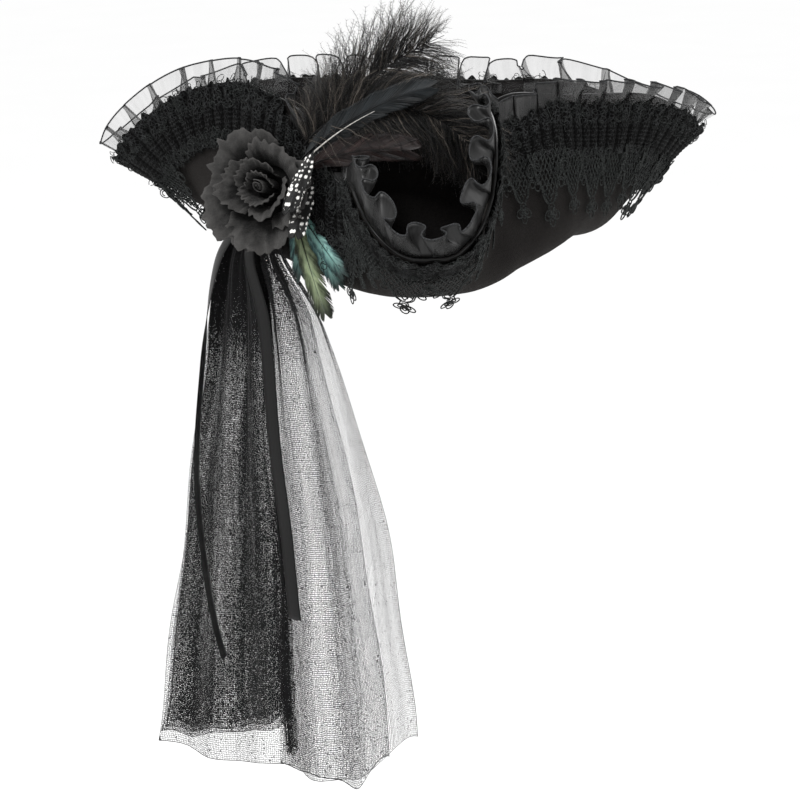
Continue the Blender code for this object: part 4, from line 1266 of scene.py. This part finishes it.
class HAT_OT_lace(Operator):
    """Gathered lace band, thread loops, and net motifs with drops"""

    bl_idname = "hat.lace"
    bl_label = "Venetian lace"

    COLUMNS, ROWS = 1200, 40
    RIB_PITCH, PUFF, RIB, FRIZZ = 0.0030, 0.0017, 0.0006, 0.0008
    LOOP_THREAD, MOTIF_THREAD = 0.075, 0.00042      # radii: share of a loop's size, and metres
    MOTIF_TOP, MOTIF_TIP, MOTIF_HALF = 0.006, -0.024, 0.0145
    NET_PITCH, NET_SLANT, CORD_GAP, STAND = 0.0034, 0.58, 0.0010, 0.0008

    def band(self, settings):
        """Ribbed and gathered band with a frilled upper edge."""
        around = share_of(self.COLUMNS, closed=True)
        rows = share_of(self.ROWS)
        metres = around * BRIM.rim_length
        top = 0.0015 + 0.0022 * wander(around, 21, (61, 97, 143), closed=True)
        foot = -settings.height - 0.0015 * wander(around, 22, (83, 120), closed=True)
        drop = seam_drop(BRIM.angle(around))[:, None]
        past = foot[:, None] + (top - foot)[:, None] * rows[None, :]
        phase = (metres / settings.gather + 0.25 * wander(around, 23, (9, 17), closed=True)) % 1.0
        puff = np.sin(math.pi * phase)[:, None] ** 0.5
        ribs = 0.5 + 0.5 * np.sin(2.0 * math.pi * past / self.RIB_PITCH)
        in_band = smooth((past + 0.031) / 0.003) * smooth((-0.011 - past) / 0.003)
        ruffled = smooth((past + 0.014) / 0.005)
        frizz = (wander(around, 24, (101, 131, 159), closed=True)[:, None] * np.cos(past * 500.0)
                 + wander(around, 25, (91, 147), closed=True)[:, None] * np.sin(past * 420.0))
        lift = lace_lift(around[:, None], past - drop) + 0.0005 + 0.0010 * smooth(drop / 0.004)
        lift = (lift + self.PUFF * puff + self.RIB * ribs * in_band
                + self.FRIZZ * frizz * (0.15 + ruffled))
        grid = BRIM.point(around[:, None], past - drop * rows[None, :] ** 0.5, lift)
        band = cloth("lace_band", grid, black_lace(), LACE_WALL, (1.5, settings.height),
                     closed=True)
        # Painted shade for the colour: near black in the gather lines where the band dips, and
        # darker in the troughs between the ribs.
        relief = (0.12 + 0.88 * puff) * (1.0 - in_band * 0.75 * (1.0 - ribs))
        set_values(band.data, "relief", relief)
        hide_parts("lace_edging", "corsage_patch")
        return band

    def loops(self, settings):
        """Small loops of thread that stand off the lace in a tangle."""
        rng = np.random.default_rng(31)
        finish = finish_of("lace_thread")
        shapes = []
        for number in range(4):
            lines = []
            for _ in range(2):
                turn = np.linspace(0.0, 2.0 * math.pi * rng.uniform(0.8, 1.0), 8)
                wide, tall = rng.uniform(0.5, 1.0), rng.uniform(0.35, 0.8)
                line = side_by_side(wide * np.cos(turn), tall * np.sin(turn),
                                    0.25 * np.sin(turn + rng.uniform(0, 6)))
                lines.append(line + rng.uniform(-0.6, 0.6, 3) * (1.0, 1.0, 0.3))
            shapes.append(new_object(f"loop_{number}", *tubes(lines, self.LOOP_THREAD, 3)))
        meshes = []
        for shape in shapes:
            many = settings.loops // len(shapes)
            around = rng.uniform(0.0, 1.0, many)
            upper = rng.uniform(0.0, 1.0, many) < 0.40
            angle = BRIM.angle(around)
            lower = 1.0 - 0.75 * smooth((angle + 112.0) / 6.0) * smooth((-28.0 - angle) / 6.0)
            past = np.where(upper, rng.uniform(-0.014, 0.003, many) - seam_drop(angle),
                            -0.029 - 0.026 * rng.uniform(0.0, 1.0, many) ** 1.3 * lower)
            lift = lace_lift(around, past) + rng.uniform(0.0012, 0.0032, many)
            points = BRIM.point(around, past, lift)
            out = unit(BRIM.outward(around, past) + rng.normal(0.0, 0.35, (many, 3)))
            ahead = rng.normal(0.0, 1.0, (many, 3))
            ahead = unit(ahead - out * np.sum(ahead * out, axis=1, keepdims=True))
            size = np.repeat(rng.uniform(0.0020, 0.0042, many)[:, None], 3, axis=1)
            shade = rng.uniform(0, 1, many)
            meshes.append(set_on_points(shape, points, ahead, out, size, shade, finish))
        remove_pieces(shapes)
        return join_meshes("lace_loops", meshes, finish)

    def motif_lines(self):
        """Threads of one motif: net, two cords with curls, oval loops and a drop of petals."""
        lines = []
        top, tip = self.MOTIF_TOP, self.MOTIF_TIP

        def side_at(height):
            return self.MOTIF_HALF * ((height - tip) / (top - tip)) ** 0.8 + 0.0012

        heights = np.linspace(top, tip, 20)
        for number in range(-5, 6):
            for slant in (-1.0, 1.0):
                across = number * self.NET_PITCH + slant * (top - heights) * self.NET_SLANT
                inside = np.abs(across) < side_at(heights)
                if inside.sum() > 2:
                    weave = 0.0003 * np.sin(heights * 2400.0)
                    lines.append(side_by_side(across, heights, weave)[inside])
        heights = np.linspace(top, tip, 16)
        for side in (-1.0, 1.0):
            wave = side_at(heights) + 0.0007 * np.sin((heights - tip) * 500.0)
            for shift in (0.0, self.CORD_GAP):
                lines.append(side_by_side(side * (wave + shift), heights, 0.0006))
            for curl in MOTIF_CURLS:
                turn = np.linspace(0.0, 2.0 * math.pi * curl.turns, 20)
                radius = curl.size * (1.0 - 0.55 * turn / turn[-1])
                place = side_at(np.array(curl.height)) + curl.size * 0.8
                lines.append(side_by_side(side * (place - radius * np.cos(turn)),
                                          curl.height + radius * np.sin(turn), self.STAND))
        turn = np.linspace(0.0, 2.0 * math.pi, 13)
        for petal in DROP_PETALS:
            cos, sin = math.cos(math.radians(petal.angle)), math.sin(math.radians(petal.angle))
            for scale in (1.0, 0.55):
                along = (petal.reach * (0.5 - 0.5 * np.cos(turn)) * scale
                         + petal.reach * 0.12 * (1.0 - scale))
                wide = 0.0026 * np.sin(turn) * scale
                lines.append(side_by_side(cos * along - sin * wide,
                                          tip - 0.0045 + sin * along + cos * wide, self.STAND))
        return lines

    def motifs(self, settings):
        """Net motifs with drops, set round the lower edge of the lace."""
        finish = finish_of("lace_thread")
        piece = new_object("motif", *tubes(self.motif_lines(), self.MOTIF_THREAD, 4))
        around = (np.arange(settings.motifs) + 0.45) / settings.motifs
        angle = BRIM.angle(around)
        bare = (angle > -104.0) & (angle < -18.0) & (np.abs(angle + 74.0) > 5.0)
        around = around[~bare]
        rng = np.random.default_rng(41)
        past = -settings.height - 0.002 + rng.uniform(-0.003, 0.003, len(around))
        lift = lace_lift(around, past) + 0.0026
        points = BRIM.point(around, past, lift)
        out = BRIM.outward(around, past)
        up = unit(BRIM.middle(around, past + 0.004) - BRIM.middle(around, past - 0.020))
        flat = np.clip(1.0 - up[:, 2:3], 0.0, 1.0)
        up = unit(up * (1.0 - 0.45 * flat) + UP * 0.45 * flat)
        out = unit(out - up * np.sum(out * up, axis=1, keepdims=True))
        ahead = np.cross(up, out)
        size = rng.uniform(0.9, 1.1, (len(around), 1)) * np.ones((1, 3))
        shade = rng.uniform(0, 1, len(around))
        made = set_on_points(piece, points, ahead, out, size, shade, finish)
        remove_pieces([piece])
        return join_meshes("lace_motifs", [made], finish)

    def execute(self, context):
        settings = context.scene.hat_lace
        for piece in (self.band(settings), self.loops(settings), self.motifs(settings)):
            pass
        return {"FINISHED"}


class HAT_OT_rose(Operator):
    """Fabric rose: cup, rolled heart and nested petals"""

    bl_idname = "hat.rose"
    bl_label = "Rose"

    HEART_TURNS, HEART_COLUMNS, HEART_ROWS = 2.3, 70, 9
    STEP_COLUMNS, PETAL_ROWS = 10, 16
    CREASE, CREASE_WIDTH = 0.0012, 0.05     # depth in metres, and width as a share of the petal

    def execute(self, context):
        foot, axis, side, up = rose_frame()
        stand = CUP_RADIUS * ROSE_RADIUS * math.tan(math.radians(ROSE_TURN)) + CUP_CLEAR
        velvet = charcoal_velvet()
        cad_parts["rose_cup"].data.materials.clear()
        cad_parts["rose_cup"].data.materials.append(velvet)

        def place(turn, reach, height):
            across = np.cos(turn)[..., None] * side + np.sin(turn)[..., None] * up
            return (foot + axis * (stand + SEWN_GAP + np.asarray(height))[..., None]
                    + across * np.asarray(reach)[..., None])

        roll, tall = np.meshgrid(share_of(self.HEART_COLUMNS), share_of(self.HEART_ROWS),
                                 indexing="ij")
        turn = 2.0 * math.pi * self.HEART_TURNS * roll
        reach = 0.0009 + 0.0036 * roll - 0.0006 * tall
        height = ROSE_DEPTH * 0.96 * tall * (0.86 + 0.14 * np.sin(turn * 0.9 + 1.0))
        heart = cloth("rose_heart_roll", place(turn, reach, height), velvet, PETAL_WALL, (1.0, 1.0))
        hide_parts("rose_heart")
        for number, petal in enumerate(PETALS, start=1):
            rng = np.random.default_rng(70 + number)
            across, tall = np.meshgrid(share_of(self.STEP_COLUMNS * petal.steps + 1),
                                       share_of(self.PETAL_ROWS), indexing="ij")
            turn = np.radians((petal.turn + across * petal.steps) * PETAL_ANGLE)
            edge = np.abs(2.0 * across - 1.0)
            ragged = wander(across, 80 + number, (2, 5, 9, 14))
            top = petal.height * ROSE_DEPTH * (1.0 - 0.34 * edge ** 2.5) * (1.0 + 0.065 * ragged)
            height = top * tall
            share = height / (petal.height * ROSE_DEPTH)
            reach = (petal.foot + petal.flare * share ** 1.7) * ROSE_RADIUS
            reach = reach * (1.0 + 0.05 * np.sin(4.0 * turn + 0.7) * height / ROSE_DEPTH)
            size = 0.4 + 0.6 * number / len(PETALS)
            curl = 0.0026 * size * smooth((tall - 0.72) / 0.28)
            sway = wander(across, 90 + number, (3, 6, 10)) * tall ** 3
            dip = wander(across, 60 + number, (2, 4, 7)) * tall ** 2
            reach = reach + curl + size * 0.0017 * sway
            height = height - curl * 0.55 + size * 0.0012 * dip
            crease = rng.uniform(0.3, 0.7)
            fold = np.exp(-((across - crease) / self.CREASE_WIDTH) ** 2)
            reach = reach - self.CREASE * size * fold * tall
            thing = cloth(f"petal_{number:02d}", place(turn, reach, height), velvet, PETAL_WALL,
                          (1.0, 1.0))
            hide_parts(f"rose_petal_{number:02d}")
        return {"FINISHED"}


class HAT_OT_feathers(Operator):
    """Ostrich plumes, goose, guinea and coque feathers, and the bare quill"""

    bl_idname = "hat.feathers"
    bl_label = "Feathers"

    BESIDE = "goose_blue"                       # the feather that the bare quill follows
    QUILL_START, QUILL_END = 0.05, 0.62         # shares of that feather's shaft
    QUILL_FORE, QUILL_ASIDE = 0.0022, 0.0025

    def execute(self, context):
        for number, row in enumerate(FEATHERS):
            if row.plume:
                make_plume(row, 11 + number)
            else:
                kind = row.name if row.name in VANES else row.name.split("_")[0]
                make_vane(row, VANES[kind], 200 + 10 * number)
        spine, ahead = feather_spine(next(row for row in FEATHERS if row.name == self.BESIDE))
        bare = spine[int(self.QUILL_START * len(spine)):int(self.QUILL_END * len(spine))]
        side = unit(np.cross(ahead[0], FEATHER_FACING))
        line = bare + FEATHER_FACING * self.QUILL_FORE + side * self.QUILL_ASIDE
        quill = threads("bare_quill", [line], tapered(QUILL, 0.75, len(line)), white_quill(), 8)
        return {"FINISHED"}


class HAT_OT_veil(Operator):
    """Tulle veil: a folded dark part over a longer pale part"""

    bl_idname = "hat.veil"
    bl_label = "Tulle veil"

    LAYER_COLUMNS, ROWS = 120, 110

    def sheet(self, net):
        """A sheet that goes to and fro across the veil, one layer before the next."""
        name, low, high, layers, stand, drop, corners, slant, finish, seed = net
        columns = self.LAYER_COLUMNS * layers + 1
        layer, share = np.meshgrid(np.linspace(0.0, layers, columns), share_of(self.ROWS) ** 1.15,
                                   indexing="ij")
        index = np.minimum(np.floor(layer), layers - 1)
        local = layer - index
        swing = np.where(index % 2 == 0, local, 1.0 - local)
        edge = 0.011 * wander(share, seed, (1, 2, 3))
        side = np.where(swing > 0.5, 1.0, -1.0) * np.abs(2.0 * swing - 1.0)
        across = low + (high - low) * swing + edge * smooth(share * 4.0)
        across = across - side * 0.016 * index * smooth(share * 3.0)
        length = (1.0 - corners[1] * smooth((swing - 0.72) / 0.28)
                  - corners[0] * smooth((0.20 - swing) / 0.20)
                  + 0.007 * wander(swing, seed + 1, (1, 2, 3)) - slant * swing)
        down = VEIL_LENGTH * share * drop * length * (1.0 - 0.012 * index)
        fold = VEIL_FOLD / 2 * smooth(share * 6.0) * (1.0 - 0.45 * smooth(share * 1.6))
        wave = 1.0 - np.cos(2.0 * math.pi * VEIL_FOLDS * across
                            + 0.6 * np.sin(index * 2.0 + share * 2.0))
        fine = wander(layer / layers, seed + 5, (17, 29, 41))
        turn = smooth((local - 0.97) / 0.06) if layers > 1 else 0.0
        gathered = 0.0005 + (VEIL_LAYER * 0.62 - 0.0005) * smooth(share * 8.0)
        lift = stand + gathered * (index + turn) - fold * wave
        lift = lift + fine * 0.0010 * (1.0 - 0.8 * smooth(share * 2.0))
        lift = lift + 0.0030 * wander(across * 1.3 + 0.35 * share, seed + 9, (2, 3)) * share
        grid = veil_point(across, down, lift)
        width = layers * (high - low) * VEIL_SPREAD * 1.25
        thing = cloth(name, grid, finish_of(finish), NET_WALL, (width, VEIL_LENGTH * drop))
        hem = np.zeros((columns, self.ROWS), np.float32)
        hem[:, -1] = hem[0] = hem[-1] = 1.0
        set_values(thing.data, "hem", hem)
        return thing

    def execute(self, context):
        pale, inner, narrow, dark = NETS
        dark = dark._replace(layers=context.scene.hat_veil.layers)
        pale, _, _, dark = [self.sheet(net) for net in (pale, inner, narrow, dark)]
        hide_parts("veil_pale")
        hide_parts("veil_dark")
        return {"FINISHED"}


class HAT_OT_ribbons(Operator):
    """Narrow satin ribbons that hang before the veil"""

    bl_idname = "hat.ribbons"
    bl_label = "Satin ribbons"

    ROWS, COLUMNS = 90, 7
    SWAY, BULGE = 0.0010, 0.0004

    def execute(self, context):
        for row in RIBBONS:
            share = share_of(self.ROWS)
            down = row.length * RIBBON_LENGTH * share
            across = row.start + (row.end - row.start) * share ** 3
            centre = veil_point(across, down, 0.0016 * (2 + row.layer) * smooth(share * 10.0))
            side, out = veil_directions(down)
            turn = np.radians(row.twist) * smooth(share * 3.0)
            clear = RIBBON_WIDTH / 2 * np.sin(turn)
            width = side * np.cos(turn)[:, None] + out * np.sin(turn)[:, None]
            steps = np.linspace(-0.5, 0.5, self.COLUMNS)
            sway = self.SWAY * np.sin(share * 14.0)
            grid = ((centre + out * (clear + sway)[:, None])[:, None]
                    + width[:, None] * steps[None, :, None] * RIBBON_WIDTH)
            bulge = 1.0 - (2.0 * steps[None, :, None]) ** 2
            grid = grid + out[:, None] * self.BULGE * bulge
            thing = cloth(row.name + "_satin", np.transpose(grid, (1, 0, 2)), black_satin(),
                          SATIN_WALL, (RIBBON_WIDTH, row.length * RIBBON_LENGTH))
            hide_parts(row.name)
        return {"FINISHED"}


class HAT_OT_stage(Operator):
    """Pale floor, soft studio light and the camera"""

    bl_idname = "hat.stage"
    bl_label = "Stage"

    FLOOR_HALF, SKY, SENSOR = 30.0, 1.05, 36.0
    TURN, RISE, ROLL = -2.5, 13.0, 1.5          # where the camera stands and how it is tilted
    AIM = np.array([-0.011, 0.0, -0.092])

    def camera(self, settings):
        """The camera, turned to the photo's view."""
        turn, rise, roll = (math.radians(value) for value in (self.TURN, self.RISE, self.ROLL))
        back = np.array([math.sin(turn) * math.cos(rise), -math.cos(turn) * math.cos(rise),
                         math.sin(rise)])
        right = np.array([math.cos(turn), math.sin(turn), 0.0])
        up = np.cross(back, right)
        data = bpy.data.cameras.new("camera")
        data.sensor_width = self.SENSOR
        data.lens = self.SENSOR * settings.distance / settings.frame_width
        matrix = Matrix.Identity(4)
        for axis, column in enumerate((right * math.cos(roll) - up * math.sin(roll),
                                       up * math.cos(roll) + right * math.sin(roll), back,
                                       self.AIM + back * settings.distance)):
            for row in range(3):
                matrix[row][axis] = float(column[row])
        thing = link("camera", data)
        thing.matrix_world = matrix
        return thing

    def execute(self, context):
        scene, settings = context.scene, context.scene.hat_stage
        corners = [(x * self.FLOOR_HALF, y * self.FLOOR_HALF, settings.floor_height)
                   for x, y in ((-1, -1), (1, -1), (1, 1), (-1, 1))]
        floor = new_object("floor", corners, [(0, 1, 2, 3)])
        floor.data.materials.append(pale_floor())
        scene.world = bpy.data.worlds.new("studio")
        scene.world.use_nodes = True
        sky = scene.world.node_tree.nodes["Background"].inputs
        sky["Color"].default_value = (1.0, 1.0, 1.0, 1.0)
        sky["Strength"].default_value = self.SKY
        for row in LIGHTS:
            light = bpy.data.lights.new(row.name, "AREA")
            light.size, light.energy = row.size, row.power
            thing = link(row.name, light)
            thing.location = row.place
            thing.rotation_mode = "QUATERNION"
            thing.rotation_quaternion = (-Vector(row.place)).to_track_quat("-Z", "Y")
        scene.camera = self.camera(settings)
        scene.view_settings.view_transform = "Standard"
        scene.cycles.transparent_max_bounces = 40
        return {"FINISHED"}


OPERATORS = (HAT_OT_felt, HAT_OT_frill, HAT_OT_lace, HAT_OT_rose, HAT_OT_feathers, HAT_OT_veil,
             HAT_OT_ribbons, HAT_OT_stage)
SETTINGS = {"hat_felt": FeltSettings, "hat_frill": FrillSettings, "hat_lace": LaceSettings,
            "hat_feathers": FeatherSettings, "hat_veil": VeilSettings, "hat_stage": StageSettings}


class HAT_PT_sidebar(Panel):
    """The hat's pieces and their sizes."""

    bl_label = "Tricorn hat"
    bl_idname = "HAT_PT_sidebar"
    bl_space_type = "VIEW_3D"
    bl_region_type = "UI"
    bl_category = "Hat"

    def draw(self, context):
        for operator in OPERATORS:
            self.layout.operator(operator.bl_idname)
        for name in SETTINGS:
            group = getattr(context.scene, name)
            box = self.layout.box()
            for key in group.bl_rna.properties.keys():
                if key not in ("rna_type", "name"):
                    box.prop(group, key)


CLASSES = (*SETTINGS.values(), *OPERATORS, HAT_PT_sidebar)


def register():
    for item in CLASSES:
        bpy.utils.register_class(item)
    for name, group in SETTINGS.items():
        setattr(bpy.types.Scene, name, PointerProperty(type=group))


def unregister():
    for name in SETTINGS:
        delattr(bpy.types.Scene, name)
    for item in reversed(CLASSES):
        bpy.utils.unregister_class(item)


def main():
    register()
    for operator in OPERATORS:
        group, name = operator.bl_idname.split(".")
        getattr(getattr(bpy.ops, group), name)()
    bpy.context.view_layer.update()


if __name__ == "__main__":
    main()
